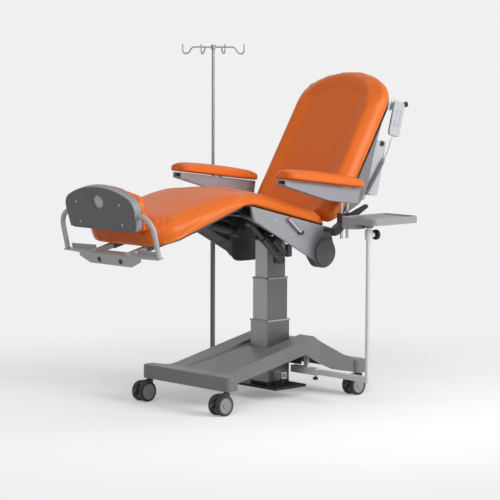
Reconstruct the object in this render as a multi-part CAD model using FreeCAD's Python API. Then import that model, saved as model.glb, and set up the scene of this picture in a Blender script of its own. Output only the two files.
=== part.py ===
import FreeCAD, Part
import math
import os

V = FreeCAD.Vector

# Electric treatment couch, in millimetres.
# Origin on the floor under the lifting column, +X to the head end, +Z up.

# Fits
run_fit = 0.05          # radial clearance of a pin or rod in its bore
slide_gap = 0.6         # side clearance of the column tubes and the footrest arms
seat_gap = 4.0          # gap between a cushion and a moulding beside it
yoke_play = 3.0         # play of a lever pin in its yoke or eye

# Castors
wheel_d = 100.0
wheel_w = 24.0
wheel_gap = 26.0        # between the inner faces of the twin wheels
hood_gap = 1.0          # between the hood and each wheel
castor_trail = 34.0     # wheel axle behind the swivel stem
castor_y = 278.0
castor_front_x = -557.0
castor_rear_x = 354.0
stem_d = 14.0
axle_d = 10.0
hood_r = 44.0
pedal_w = 13.0

# Base
base_wall = 4.0
crossbar_half = 313.0
crossbar_depth = 76.0
crossbar_low = 112.0
crossbar_top = 180.0
stem_inset = 19.0       # stem axis behind the outer face of its crossbar
beam_out = 205.0
beam_in = 105.0
crest_x = 106.0
crest_z = 306.0
ramp_x = -474.0
trough_drop = 20.0
beam_depth = 88.0       # height of the side walls
waist_r = 60.0
frame_tube = 40.0

# Lifting column
outer_x = 158.0
outer_y = 122.0
column_step = 16.0      # one tube is this much smaller than the next
tube_wall = 4.0
collar_h = 12.0
column_foot_z = 63.0
foot_plate_t = 13.0
outer_top = 383.0
mid_top = 594.0
mid_low = 250.0
inner_top = 780.0
inner_low = 440.0
head_t = 10.0
tilt_z = 815.0
tilt_pin_d = 24.0
tilt_ear_r = 20.0

# Seat, leg and back sections, each drawn flat from its own hinge
seat_angle = 13.9
leg_angle = -13.5
back_angle = -58.5
knee_x = -422.3
knee_z = 971.5
back_hinge_on = 20.5    # back hinge beyond the seat frame's end
back_hinge_up = 63.2
hinge_drop = 18.0       # knee hinge below the cushions' undersides
board_t = 5.0
seat_len = 574.0
leg_len = 588.0
cushion_half = 303.0
cushion_edge = 64.0
cushion_crown = 18.0
cushion_gap = 4.0
cushion_tuck = 20.0     # underside's edge inside the widest line
cushion_soft = 44.0     # top's edge inside the widest line
seat_nose = 29.0        # seat cushion stops this far before the frame's end
nose_reach = 118.0
nose_inset = 46.0
leg_end = 150.0
leg_fall = 0.081        # slope of the leg cushion's underside
board_in = 26.0         # boards start this far from the knee
hinge_pin_d = 16.0
rail = 40.0
rail_in = 150.0
lug_t = 12.0

# Back section
back_len = 845.0
back_start = 34.0
back_lip = 18.0         # the cushion's lower lip starts this far before the hinge
back_rear = 30.0        # cushion behind the hinge line
back_front = 44.0       # flat of the cushion before the hinge line
bolster_rise = 20.0
arch_corner_r = 140.0
arch_top_r = 430.0
push_s = back_len - 87.0
push_t = -173.0
push_bar_d = 28.0
push_half = 250.0

# Side covers
cover_in = 296.0
cover_t = 22.0
cover_wall = 4.0
skirt_in = 226.0        # inner edge of the cover's lower return
cap_x = seat_len - 46.0
cap_z = -112.0
cap_r = 68.0
barrel_r = 76.0
cover_slope = math.radians(14.1)
cover_blend = 60.0      # hollow between the lower edge and the barrel
rail_a = (228.0, 3.0)
rail_b = (333.0, -49.0)

# Footrest
foot_gap = 72.0         # plate's face before the leg cushion's end
foot_plate_x = -(leg_len + foot_gap)
foot_plate_w = 24.0
foot_pad_w = 36.0
foot_pad_rise = 16.0
foot_low = 64.0
foot_high = 262.0
foot_arch_r = 540.0
foot_corner_r = 52.0
plate_edge = 246.0
wing_z = -50.0
arm_len = 330.0
foot_tube_d = 24.0
foot_tube_y = 330.0
arm_bar = 24.0
arm_bar_y = 120.0

# Armrests
arm_y = 378.0
arm_pad_len = 547.0
arm_pad_half = 70.0
arm_pad_t = 54.0
arm_tilt = 7.2
arm_back = 143.5        # middle of the pad before the first post
arm_rise = 148.3        # underside of the pad above the sockets
arm_support_half = 33.0
post_d = 16.0
post_on = 53.2          # first post beyond the outrigger
post_pitch = 40.0
socket_up = 47.4
socket_h = 45.0
post_drop = 80.0        # posts reach this far under the sockets

# Accessories
bar = 26.0
sleeve_wall = 4.0
bar_z = 131.0
bar_x = 105.0
iv_x = 100.0
iv_y = 533.0
iv_tube_d = 25.0
iv_rod_d = 16.0
iv_tube_top = 1062.0
iv_top = 1745.0
hook_reach = 170.0
hook_wire = 7.0
hook_turn = 26.4
sleeve_out = 240.0
stub_x = -20.0
stub_z = 112.0
stub = 28.0
knob_d = 50.0
knob_shank = 8.0
tray_y = -573.0
tray_pole_d = 25.0
tray_rod_d = 20.0
tray_pole_top = 862.0
tray_len = 312.0
tray_wid = 233.0
tray_top_z = 925.0
tray_t = 34.0
tray_x0 = 25.0
tray_lip = 9.0
tray_recess = 6.0
well_x = 96.0
well_y = 92.0
well_z = 866.0
well_wall = 3.0
tray_rod_low = 540.0
tray_bore_low = 480.0
iv_rod_low = 700.0
iv_bore_low = 330.0

# Actuators
act_tube_d = 38.0
act_rod_d = 18.0
act_pin_d = 12.0
tilt_act_y = -118.0
tilt_act_foot = (-45.0, 689.0)
tilt_act_eye = (190.0, -46.0)
tilt_tube_d = 34.0
tilt_rod_d = 22.0
tilt_tube_len = 165.0
leg_act_y = 118.0
leg_lever = 85.0
leg_mid = -9.0          # leg turn at which its lever stands square to the actuator
leg_swing = 36.0
back_act_y = 240.0
back_lever = 127.0
back_mid = 33.5
back_swing = 38.5

# Handset and curly cord
hand_w = 78.0
hand_t = 30.0
hand_h = 176.0
hand_lean = 15.0
hand_back = 80.6        # middle of the handset before the push bar
hand_drop = 72.9
cord_d = 4.4
coil_r = 9.0
coil_turns = 28
coil_top = (556.0, -254.0, 1180.0)
coil_low = (420.0, -254.0, 1000.0)
gland_d = 16.0
gland_len = 20.0
gland_s = 190.0

nodes = {}


def box(x0, x1, y0, y1, z0, z1):
    return Part.makeBox(x1 - x0, y1 - y0, z1 - z0, V(x0, y0, z0))


def rod(r, start, end):
    a = V(*start)
    d = V(*end) - a
    return Part.makeCylinder(r, d.Length, a, d)


def rod_y(r, x, y0, y1, z):
    return rod(r, (x, y0, z), (x, y1, z))


def prism_y(points, y0, y1):
    corners = [V(x, y0, z) for x, z in points]
    face = Part.Face(Part.makePolygon(corners + corners[:1]))
    return face.extrude(V(0, y1 - y0, 0))


def rounded_block(lx, ly, r, z0, z1):
    block = box(-lx / 2, lx / 2, -ly / 2, ly / 2, z0, z1)
    upright = [e for e in block.Edges if abs(e.tangentAt(e.FirstParameter).z) > 0.99]
    return block.makeFillet(r, upright)


def fuse(first, *rest):
    return first.fuse(list(rest)).removeSplitter()


def mirrored(shape):
    return shape.mirror(V(0, 0, 0), V(0, 1, 0))


def arc(a, m, b):
    return Part.Arc(V(*a), V(*m), V(*b)).toShape()


def line(a, b):
    return Part.makeLine(V(*a), V(*b))


class Section:
    """A flat section of the couch, drawn from its hinge and turned into place."""

    def __init__(self, x, z, angle):
        self.hinge = V(x, 0, z)
        self.angle = angle

    def place(self, shape):
        moved = shape.copy()
        moved.rotate(V(0, 0, 0), V(0, 1, 0), self.angle)
        moved.translate(self.hinge)
        return moved

    def point(self, x, z):
        turn = FreeCAD.Rotation(V(0, 1, 0), self.angle)
        return turn.multVec(V(x, 0, z)) + self.hinge

    def local(self, p):
        turn = FreeCAD.Rotation(V(0, 1, 0), -self.angle)
        q = turn.multVec(p - self.hinge)
        return q.x, q.z


seat = Section(knee_x, knee_z, seat_angle)
leg = Section(knee_x, knee_z, leg_angle)
back_pivot = seat.point(seat_len + back_hinge_on, back_hinge_up)
back = Section(back_pivot.x, back_pivot.z, back_angle)


# Base cover and chassis

front_face = castor_front_x - stem_inset
rear_face = castor_rear_x + stem_inset + 7.0
front_in = front_face + crossbar_depth
rear_in = rear_face - crossbar_depth
ramp_rise = (crest_z - crossbar_top) / (crest_x - ramp_x)
rear_foot_x = rear_in - 51.0
rear_foot_z = crossbar_top + 29.0


def beam_top(drop):
    return [(front_in - 20.0, crossbar_top - 2.0 - drop), (ramp_x, crossbar_top - drop),
            (crest_x, crest_z - drop), (rear_foot_x, rear_foot_z - drop),
            (rear_in + 10.0, crossbar_top - 2.0 - drop)]


def beam_under(drop):
    return [(rear_in + 10.0, crossbar_low + 2.0 - drop),
            (rear_foot_x - 45.0, crossbar_low + 21.0 - drop),
            (crest_x - 59.0, crest_z - beam_depth - drop),
            (ramp_x + 54.0, crossbar_low + 11.0 - drop),
            (front_in - 20.0, crossbar_low + 2.0 - drop)]


def base_plan(inset):
    half = beam_out - inset
    x0 = front_in - 20.0
    x1 = rear_in + 10.0
    r = waist_r
    k = r * (1 - math.sqrt(0.5))
    flare = crossbar_half - 23.0 - inset
    fx = front_in - inset
    pieces = []
    for s in (1, -1):
        pieces.append([
            line((x0, 0, 0), (x0, s * (half + r), 0)),
            line((x0, s * (half + r), 0), (fx, s * (half + r), 0)),
            arc((fx, s * (half + r), 0), (fx + k, s * (half + k), 0), (fx + r, s * half, 0)),
            line((fx + r, s * half, 0), (crest_x + 44.0, s * half, 0)),
            line((crest_x + 44.0, s * half, 0), (rear_in, s * flare, 0)),
            line((rear_in, s * flare, 0), (x1, s * flare, 0)),
            line((x1, s * flare, 0), (x1, 0, 0)),
        ])
    edges = pieces[0] + pieces[1]
    wire = Part.Wire(Part.__sortEdges__(edges))
    face = Part.Face(wire)
    return face.extrude(V(0, 0, 2 * crest_z))


def crossbar(x0, inset, low):
    body = rounded_block(crossbar_depth - 2 * inset, 2 * (crossbar_half - inset), 24.0 - inset,
                         low, crossbar_top - inset)
    body.translate(V(x0 + crossbar_depth / 2, 0, 0))
    return body


def trough(inset):
    half = beam_in + inset
    z0 = crossbar_top - inset - 3.0
    z1 = crest_z - trough_drop - inset
    pts = [(ramp_x, z0), (crest_x - 10.0, z1), (crest_x + 60.0, z1), (crest_x + 60.0, 2 * crest_z),
           (ramp_x, 2 * crest_z)]
    return prism_y(pts, -half, half)


def base_form(inset, low):
    sides = prism_y(beam_top(inset) + beam_under(low), -crossbar_half, crossbar_half)
    body = sides.common(base_plan(inset)).cut(trough(inset))
    front = crossbar(front_face, inset, crossbar_low - low)
    rear = crossbar(rear_in, inset, crossbar_low - low)
    if inset == 0:
        front = soften_top(front)
        rear = soften_top(rear)
    return fuse(body, front, rear)


def soften_top(body):
    rim = [e for e in body.Edges if min(v.Z for v in e.Vertexes) > crossbar_top - 0.1]
    return body.makeFillet(10.0, rim)


column_hole = box(-outer_x / 2 - 9.0, outer_x / 2 + 9.0, -outer_y / 2 - 9.0, outer_y / 2 + 9.0,
                  crossbar_low, 2 * crest_z)
cover = base_form(0.0, 0.0).cut(base_form(base_wall, 30.0)).cut(column_hole)
nodes["base_cover"] = cover

chassis_side = beam_top(base_wall)
side_pts = chassis_side + [(x, z - frame_tube) for x, z in reversed(chassis_side)]
chassis = None
for s in (1, -1):
    y_in = s * (beam_in + 30.0)
    member = prism_y(side_pts, min(y_in, y_in + s * frame_tube), max(y_in, y_in + s * frame_tube))
    chassis = member if chassis is None else chassis.fuse(member)
cross_z1 = crossbar_top - base_wall
cross_half = castor_y + 14.0
for x0, x1 in ((castor_front_x - 14.0, castor_front_x + 44.0),
               (castor_rear_x - 44.0, castor_rear_x + 14.0)):
    chassis = chassis.fuse(box(x0, x1, -cross_half, cross_half, cross_z1 - 50.0, cross_z1))
for x0, x1 in ((-outer_x / 2 - 12.0, -outer_x / 2), (outer_x / 2, outer_x / 2 + 12.0)):
    plate_top = 232.0 if x0 < 0 else 274.0
    chassis = chassis.fuse(box(x0, x1, -(beam_in + 30.0), beam_in + 30.0, 160.0, plate_top))
for x in (castor_front_x, castor_rear_x):
    for s in (1, -1):
        bore = Part.makeCylinder(stem_d / 2 + run_fit, 60.0, V(x, s * castor_y, cross_z1 - 55.0))
        chassis = chassis.cut(bore)
nodes["base_frame"] = chassis.removeSplitter()

# Lifting column


def column_tube(lx, ly, r, z0, z1, neck):
    tube = rounded_block(lx, ly, r, z0, z1)
    hollow = rounded_block(lx - 2 * tube_wall, ly - 2 * tube_wall, r - 2.0, z0 - 1.0, z1 - collar_h)
    tube = tube.cut(hollow)
    if neck:
        open_x = lx - column_step + 2 * slide_gap
        open_y = ly - column_step + 2 * slide_gap
        tube = tube.cut(rounded_block(open_x, open_y, r - 1.0, z1 - collar_h - 1.0, z1 + 1.0))
    return tube


mid_x = outer_x - column_step
mid_y = outer_y - column_step
inner_x = mid_x - column_step
inner_y = mid_y - column_step
outer_tube = column_tube(outer_x, outer_y, 7.0, column_foot_z, outer_top, True)
plate_half = outer_y / 2 + 101.0
foot_pts = [(-outer_x / 2 - 36.0, -plate_half), (outer_x / 2 + 16.0, -plate_half),
            (outer_x / 2 + 16.0, plate_half), (-outer_x / 2 - 36.0, plate_half)]
corners = [V(x, y, column_foot_z - foot_plate_t) for x, y in foot_pts]
foot_plate = Part.Face(Part.makePolygon(corners + corners[:1])).extrude(V(0, 0, foot_plate_t))
nodes["column_outer_tube"] = fuse(outer_tube, foot_plate)
nodes["column_mid_tube"] = column_tube(mid_x, mid_y, 6.0, mid_low, mid_top, True)
nodes["column_inner_tube"] = column_tube(inner_x, inner_y, 5.0, inner_low, inner_top, False)

ear_y = inner_y / 2 + 5.0
ear_t = 12.0
lug_y = ear_y + ear_t + 4.0
arm_plate_y = lug_y + lug_t + 4.0
head = box(-70.0, 70.0, -ear_y - ear_t, ear_y + ear_t, inner_top, inner_top + head_t)
for s in (1, -1):
    y0 = min(s * ear_y, s * (ear_y + ear_t))
    ear = prism_y([(-45.0, inner_top + head_t), (45.0, inner_top + head_t),
                   (tilt_ear_r, tilt_z), (-tilt_ear_r, tilt_z)], y0, y0 + ear_t)
    head = head.fuse([ear, rod_y(tilt_ear_r, 0.0, y0, y0 + ear_t, tilt_z)])
pin_half = lug_y + lug_t + 2.0
head = head.fuse(rod_y(tilt_pin_d / 2, 0.0, -pin_half, pin_half, tilt_z))
foot_x, foot_z = tilt_act_foot
shelf = box(-70.0, 0.0, -arm_plate_y - 8.0, -ear_y, inner_top, inner_top + head_t)
hanger = prism_y([(-70.0, inner_top + head_t), (0.0, inner_top + head_t), (foot_x + 18.0, foot_z),
                  (foot_x - 18.0, foot_z)], -arm_plate_y - 8.0, -arm_plate_y)
boss = rod_y(18.0, foot_x, -arm_plate_y - 8.0, -arm_plate_y, foot_z)
foot_pin = rod_y(act_pin_d / 2, foot_x, tilt_act_y - 18.0, -arm_plate_y, foot_z)
nodes["column_head"] = fuse(head, shelf, hanger, boss, foot_pin)


# Seat frame

board_low = hinge_drop - board_t
rail_low = board_low - rail
rail_out = rail_in + rail
tilt_lx, tilt_lz = seat.local(V(0, 0, tilt_z))
pivot_lx = seat_len + back_hinge_on
pivot_lz = back_hinge_up


def square_tube_x(x0, x1, y, z, size, wall):
    outer = box(x0, x1, y - size / 2, y + size / 2, z - size / 2, z + size / 2)
    h = size / 2 - wall
    return outer.cut(box(x0 - 1, x1 + 1, y - h, y + h, z - h, z + h))


def lug(points, x, z, r, y0, t):
    return fuse(prism_y(points, y0, y0 + t), rod_y(r, x, y0, y0 + t, z))


rail_mid = rail_in + rail / 2
rail_z = rail_low + rail / 2
seat_parts = [box(26.0, seat_len - 14.0, -288.0, 288.0, board_low, hinge_drop)]
for s in (1, -1):
    seat_parts.append(square_tube_x(40.0, seat_len - 18.0, s * rail_mid, rail_z, rail, 3.0))
for x in (60.0, seat_len - 74.0):
    seat_parts.append(box(x, x + rail, -rail_in, rail_in, rail_low, board_low))

knee_lug_y = rail_out
back_lug_y = rail_in
pin_len = 32.0
out_x = seat_len - 82.0
out_top = board_low - 6.0
out_low = out_top - 20.0
arm_root = seat.point(out_x + 13.0, out_low)
post_x = (arm_root.x + post_on, arm_root.x + post_on + post_pitch)
socket_low = arm_root.z + socket_up
socket_top = socket_low + socket_h
post_low = socket_low - post_drop


def from_side(s, y, t):
    """Lower Y of a plate of thickness t that starts at distance y on side s."""
    return min(s * y, s * (y + t))


for s in (1, -1):
    y0 = from_side(s, knee_lug_y, lug_t)
    knee_lug = lug([(-2.0, -13.0), (80.0, rail_low + 4.0), (80.0, board_low), (26.0, board_low),
                    (2.0, 13.0)], 0.0, 0.0, 14.0, y0, lug_t)
    y0 = from_side(s, knee_lug_y, pin_len)
    knee_pin = rod_y(hinge_pin_d / 2, 0.0, y0, y0 + pin_len, 0.0)
    y0 = from_side(s, back_lug_y, lug_t)
    back_lug = lug([(seat_len - 46.0, rail_low + 4.0), (seat_len + 36.0, rail_low + 4.0),
                    (pivot_lx + 14.0, pivot_lz), (pivot_lx - 14.0, pivot_lz),
                    (seat_len + 6.0, board_low - 2.0), (seat_len - 46.0, board_low - 2.0)],
                   pivot_lx, pivot_lz, 15.0, y0, lug_t)
    y0 = from_side(s, back_lug_y, pin_len)
    back_pin = rod_y(hinge_pin_d / 2, pivot_lx, y0, y0 + pin_len, pivot_lz)
    y0 = from_side(s, lug_y, lug_t)
    tilt_lug = lug([(tilt_lx - 20.0, tilt_lz), (tilt_lx - 57.0, board_low), (tilt_lx + 57.0, board_low),
                    (tilt_lx + 20.0, tilt_lz)], tilt_lx, tilt_lz, 20.0, y0, lug_t)
    hole = rod_y(tilt_pin_d / 2 + run_fit, tilt_lx, y0 - 1, y0 + lug_t + 1, tilt_lz)
    into_cover = cover_in + cover_t - cover_wall - rail_out
    y0 = from_side(s, rail_out, into_cover)
    front_arm = box(100.0, 124.0, y0, y0 + into_cover, out_low, out_top)
    reach = arm_y + 16.0 - rail_out
    y0 = from_side(s, rail_out, reach)
    outrigger = box(out_x, out_x + 26.0, y0, y0 + reach, out_low, out_top)
    seat_parts += [knee_lug, knee_pin, back_lug, back_pin, tilt_lug.cut(hole), front_arm, outrigger]

eye_x, eye_z = tilt_act_eye
for y in (tilt_act_y - 24.0, tilt_act_y + 16.0):
    seat_parts.append(lug([(eye_x - 13.0, eye_z), (eye_x - 20.0, board_low), (eye_x + 20.0, board_low),
                           (eye_x + 13.0, eye_z)], eye_x, eye_z, 13.0, y, 8.0))
seat_parts.append(rod_y(act_pin_d / 2, eye_x, tilt_act_y - 24.0, tilt_act_y + 24.0, eye_z))

leg_axis = -leg_lever * (1 + math.cos(math.radians(leg_swing))) / 2
back_axis = pivot_lz - back_lever * (1 + math.cos(math.radians(back_swing))) / 2
leg_house = (96.0, 372.0)
back_house = (150.0, 478.0)
strap_w = 18.0
strap_half = 12.0


def pipe_clamp(x, y, z):
    """A strap from the seat board that closes round a drive's plain tube."""
    strap = box(x, x + strap_w, y - strap_half, y + strap_half, z, board_low)
    ring = rod(act_tube_d / 2 + 5.0, (x, y, z), (x + strap_w, y, z))
    bore = rod(act_tube_d / 2 + run_fit, (x - 1.0, y, z), (x + strap_w + 1.0, y, z))
    return strap.fuse(ring).cut(bore)


for x in (leg_house[0] + 32.0, leg_house[1] - 84.0):
    seat_parts.append(pipe_clamp(x, leg_act_y, leg_axis))
for x in (back_house[0] + 66.0, back_house[1] - 50.0):
    seat_parts.append(pipe_clamp(x, back_act_y, back_axis))

seat_solid = seat.place(fuse(*seat_parts))
for s in (1, -1):
    y0 = s * arm_y - 16.0
    corner = seat.point(out_x + 4.0, out_top - 3.0)
    corner2 = seat.point(out_x + 24.0, out_low + 1.0)
    bracket = prism_y([(corner.x - 8.0, corner.z), (corner.x, corner2.z - 14.0),
                       (corner2.x + 6.0, corner2.z - 8.0),
                       (post_x[1] + 16.0, socket_low), (post_x[1] + 16.0, socket_top),
                       (post_x[0] - 16.0, socket_top), (post_x[0] - 16.0, socket_low)], y0, y0 + 32.0)
    for x in post_x:
        bore = Part.makeCylinder(post_d / 2 + run_fit, 220.0, V(x, s * arm_y, post_low - 40.0))
        bracket = bracket.cut(bore)
    hub = rod_y(9.0, post_x[0] + 24.0, s * arm_y + s * 16.0, s * arm_y + s * 46.0, socket_top - 16.0)
    seat_solid = seat_solid.fuse([bracket, hub])
for s in (1, -1):
    for x in post_x:
        bore = Part.makeCylinder(post_d / 2 + run_fit, 220.0, V(x, s * arm_y, post_low - 40.0))
        seat_solid = seat_solid.cut(bore)
nodes["seat_frame"] = seat_solid.removeSplitter()


# Linear actuators


def actuator_housing(x0, x1, bore_x):
    tube = rod(act_tube_d / 2, (x0, 0, 0), (x1, 0, 0))
    gear = box(x0, x0 + 54.0, -22.0, 22.0, -24.0, 24.0)
    gear = gear.makeFillet(6.0, gear.Edges)
    nose = rod(act_tube_d / 2 + 3.0, (x1 - 16.0, 0, 0), (x1, 0, 0))
    bore = rod(act_rod_d / 2 + run_fit, (bore_x, 0, 0), (x1 + 1.0, 0, 0))
    return fuse(tube, gear, nose).cut(bore)


def yoke_rod(start, yoke_x, slot_len, width):
    shaft = rod(act_rod_d / 2, (start, 0, 0), (yoke_x - 16.0, 0, 0))
    slot_w = act_pin_d + 2 * yoke_play
    h = slot_len / 2
    side = slot_w / 2 + 10.0
    plate = box(yoke_x - side, yoke_x + side, -width / 2, width / 2, -h - 9.0, h + 9.0)
    slot = box(yoke_x - slot_w / 2, yoke_x + slot_w / 2, -width, width, -h, h)
    return fuse(shaft, plate.cut(slot))


def shifted(shape, y, z):
    moved = shape.copy()
    moved.translate(V(0, y, z))
    return moved


def lever_pin(length, turn):
    a = math.radians(turn)
    return -length * math.sin(a), -length * math.cos(a)


leg_pin_x, leg_pin_z = lever_pin(leg_lever, -leg_mid)
leg_slot = leg_lever * (1 - math.cos(math.radians(leg_swing))) + act_pin_d + 2 * yoke_play + 2.0
house = actuator_housing(*leg_house, leg_house[0] + 60.0)
turned = house.mirror(V((leg_house[0] + leg_house[1]) / 2, 0, 0), V(1, 0, 0))
nodes["leg_actuator_housing"] = seat.place(shifted(turned, leg_act_y, leg_axis))
leg_rod_end = leg_house[1] - 140.0
rod_shape = yoke_rod(-leg_rod_end, -leg_pin_x, leg_slot, 14.0).mirror(V(0, 0, 0), V(1, 0, 0))
nodes["leg_actuator_rod"] = seat.place(shifted(rod_shape, leg_act_y, leg_axis))

bx, bz = lever_pin(back_lever, -back_mid)
back_pin_x = pivot_lx + bx
back_pin_z = pivot_lz + bz
back_slot = back_lever * (1 - math.cos(math.radians(back_swing))) + act_pin_d + 2 * yoke_play + 2.0
nodes["back_actuator_housing"] = seat.place(
    shifted(actuator_housing(*back_house, back_house[0] + 12.0), back_act_y, back_axis))
nodes["back_actuator_rod"] = seat.place(
    shifted(yoke_rod(back_house[0] + 170.0, back_pin_x, back_slot, 14.0), back_act_y, back_axis))

eye = seat.point(eye_x, eye_z)
reach = V(eye.x - foot_x, 0, eye.z - foot_z)
lean = math.degrees(math.atan2(reach.z, reach.x))
span = reach.Length


def along_tilt(shape):
    moved = shape.copy()
    moved.rotate(V(0, 0, 0), V(0, 1, 0), -lean)
    moved.translate(V(foot_x, tilt_act_y, foot_z))
    return moved


gear_end = rod_y(tilt_tube_d / 2, 0.0, -14.0, 14.0, 0.0)
barrel = rod(tilt_tube_d / 2, (0.0, 0, 0), (tilt_tube_len, 0, 0))
nose = rod(tilt_tube_d / 2 + 2.5, (tilt_tube_len - 14.0, 0, 0), (tilt_tube_len, 0, 0))
motor = rod(17.0, (4.0, 0, -40.0), (108.0, 0, -40.0))
web = box(12.0, 46.0, -10.0, 10.0, -38.0, -8.0)
tilt_house = fuse(gear_end, barrel, nose, motor, web)
tilt_house = tilt_house.cut(rod_y(act_pin_d / 2 + run_fit, 0.0, -40.0, 40.0, 0.0))
tilt_house = tilt_house.cut(rod(tilt_rod_d / 2 + run_fit, (72.0, 0, 0), (tilt_tube_len + 1.0, 0, 0)))
nodes["tilt_actuator_housing"] = along_tilt(tilt_house)
eye_r = act_pin_d / 2 + yoke_play + 0.5
tilt_rod = rod(tilt_rod_d / 2, (110.0, 0, 0), (span - eye_r - 2.0, 0, 0))
tilt_rod = fuse(tilt_rod, rod_y(eye_r + 6.0, span, -12.0, 12.0, 0.0))
tilt_rod = tilt_rod.cut(rod_y(eye_r, span, -20.0, 20.0, 0.0))
nodes["tilt_actuator_rod"] = along_tilt(tilt_rod)

# Side covers, end caps and rails

cover_top = hinge_drop - seat_gap


def cover_outline(y):
    """Side view of a cover: a sloping lower edge that runs into a round barrel."""
    front = V(46.0, y, -58.0)
    centre = V(cap_x, y, cap_z)
    along = V(math.cos(cover_slope), 0, -math.sin(cover_slope))
    down = V(along.z, 0, -along.x)
    base = front + down * cover_blend
    b = along.dot(base - centre)
    c = (base - centre).dot(base - centre) - (barrel_r + cover_blend) ** 2
    hollow = base + along * (-b - math.sqrt(b * b - c))
    leave = hollow - down * cover_blend
    meet = centre + (hollow - centre) * (barrel_r / (barrel_r + cover_blend))
    between = (leave + meet) * 0.5 - hollow
    dip = hollow + between.normalize() * cover_blend
    high = (cap_x + barrel_r * 0.66, y, cap_z + barrel_r * 0.75)
    far = (cap_x + barrel_r * 0.8, y, cap_z - barrel_r * 0.6)
    edges = [
        line((-13.0, y, cover_top), (seat_len - 34.0, y, cover_top)),
        line((seat_len - 34.0, y, cover_top), high),
        arc(high, far, meet),
        arc(meet, dip, leave),
        line(leave, front),
        arc(front, (24.0, y, -50.0), (14.0, y, -36.0)),
        line((14.0, y, -36.0), (-13.0, y, cover_top)),
    ]
    return Part.Wire(edges)


def side_cover():
    wire = cover_outline(skirt_in)
    deep = cover_in + cover_t - skirt_in
    outer = Part.Face(wire).extrude(V(0, deep, 0))
    rim = [e for e in outer.Edges if min(v.Y for v in e.Vertexes) > cover_in + cover_t - 0.1]
    outer = outer.makeFillet(7.0, rim)
    inside = wire.makeOffset2D(-cover_wall)
    shell = outer.cut(Part.Face(inside).extrude(V(0, deep - cover_wall, 0)))
    upper = prism_y([(-60.0, -34.0), (60.0, -34.0), (cap_x - 70.0, cap_z - 22.0),
                     (cap_x + 120.0, cap_z - 22.0), (cap_x + 120.0, 60.0), (-60.0, 60.0)],
                    skirt_in - 1.0, cover_in)
    shell = shell.cut(upper)
    y1 = cover_in + cover_t + 60.0
    return shell.cut(box(out_x, out_x + 26.0, cover_in - 1.0, y1, out_low, out_top))


cover_shape = side_cover()
nodes["side_cover_right"] = seat.place(cover_shape)
nodes["side_cover_left"] = mirrored(nodes["side_cover_right"])
face_y = cover_in + cover_t
cap_t = 9.0
cap = rod_y(cap_r, cap_x, face_y, face_y + cap_t, cap_z)
cap_rim = [e for e in cap.Edges if min(v.Y for v in e.Vertexes) > face_y + cap_t - 0.1]
cap = cap.makeFillet(4.0, cap_rim)
dish = Part.makeSphere(400.0, V(cap_x, face_y + cap_t + 397.0, cap_z))
cap = seat.place(cap.cut(dish))
nodes["cover_end_caps"] = Part.makeCompound([cap, mirrored(cap)])

rail_y = face_y + 16.0
run = rod(8.0, (rail_a[0], rail_y, rail_a[1]), (rail_b[0], rail_y, rail_b[1]))
side_rail = run
for f in (0.16, 0.84):
    x = rail_a[0] + f * (rail_b[0] - rail_a[0])
    z = rail_a[1] + f * (rail_b[1] - rail_a[1])
    side_rail = side_rail.fuse(rod_y(5.0, x, face_y, rail_y, z))
side_rail = seat.place(side_rail.removeSplitter())
nodes["side_rails"] = Part.makeCompound([side_rail, mirrored(side_rail)])


# Cushions


def pad_section(at, half, low, shoulder, crown, tuck, soft):
    """One cross-section of a cushion, in the plane x = at."""
    k = min(1.0, (shoulder - low) / cushion_edge)
    foot = half - k * tuck
    top = half - k * soft
    mid = low + 0.45 * (shoulder - low)
    return Part.Wire([
        line((at, -foot, low), (at, foot, low)),
        arc((at, foot, low), (at, half, mid), (at, top, shoulder)),
        arc((at, top, shoulder), (at, 0, shoulder + crown), (at, -top, shoulder)),
        arc((at, -top, shoulder), (at, -half, mid), (at, -foot, low)),
    ])


def filled(stations, step):
    """The same stations with even ones between, so that a loft runs straight."""
    rows = [stations[0]]
    for a, b in zip(stations, stations[1:]):
        count = max(1, round(abs(b[0] - a[0]) / step))
        for i in range(1, count + 1):
            rows.append(tuple(p + (q - p) * i / count for p, q in zip(a, b)))
    return rows


def pad(stations, tuck, soft):
    rows = filled(stations, 45.0)
    return Part.makeLoft([pad_section(*row, tuck, soft) for row in rows], True)


def end_stations(x, reach, inset_r, half, low, shoulder, crown, share):
    """Sections that round a cushion's end off in plan and in height."""
    rows = []
    for a in (0, 14, 28, 42, 55, 67, 77, 84):
        t = math.radians(a)
        fall = 1 - math.cos(t)
        at = x + reach * math.sin(t)
        top = shoulder - share * fall * (shoulder - low(at))
        rows.append((at, half - inset_r * fall, low(at), top, crown * (0.4 + 0.6 * math.cos(t))))
    return rows


def seat_under(x):
    return hinge_drop


def leg_under(x):
    return hinge_drop + leg_fall * x


shoulder = hinge_drop + cushion_edge
seat_rows = [(cushion_gap, cushion_half, hinge_drop, shoulder - 8.0, cushion_crown - 6.0),
             (60.0, cushion_half, hinge_drop, shoulder, cushion_crown)]
nose_x = seat_len - seat_nose - nose_reach
seat_rows += end_stations(nose_x, nose_reach, nose_inset, cushion_half, seat_under, shoulder,
                          cushion_crown, 0.9)
nodes["seat_cushion"] = seat.place(pad(seat_rows, cushion_tuck, cushion_soft))

leg_rows = [(-cushion_gap, cushion_half, leg_under(-cushion_gap), shoulder - 8.0, cushion_crown - 6.0),
            (-60.0, cushion_half, leg_under(-60.0), shoulder, cushion_crown)]
leg_rows += end_stations(-leg_len + leg_end, -leg_end, leg_end, cushion_half, leg_under, shoulder,
                         cushion_crown, 0.2)
nodes["leg_cushion"] = leg.place(pad(leg_rows, cushion_tuck, cushion_soft))

arch_s = back_len - arch_top_r
corner_w = cushion_half - arch_corner_r
corner_s = arch_s + math.sqrt((arch_top_r - arch_corner_r) ** 2 - corner_w ** 2)
join_s = arch_s + (corner_s - arch_s) * arch_top_r / (arch_top_r - arch_corner_r)


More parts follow.
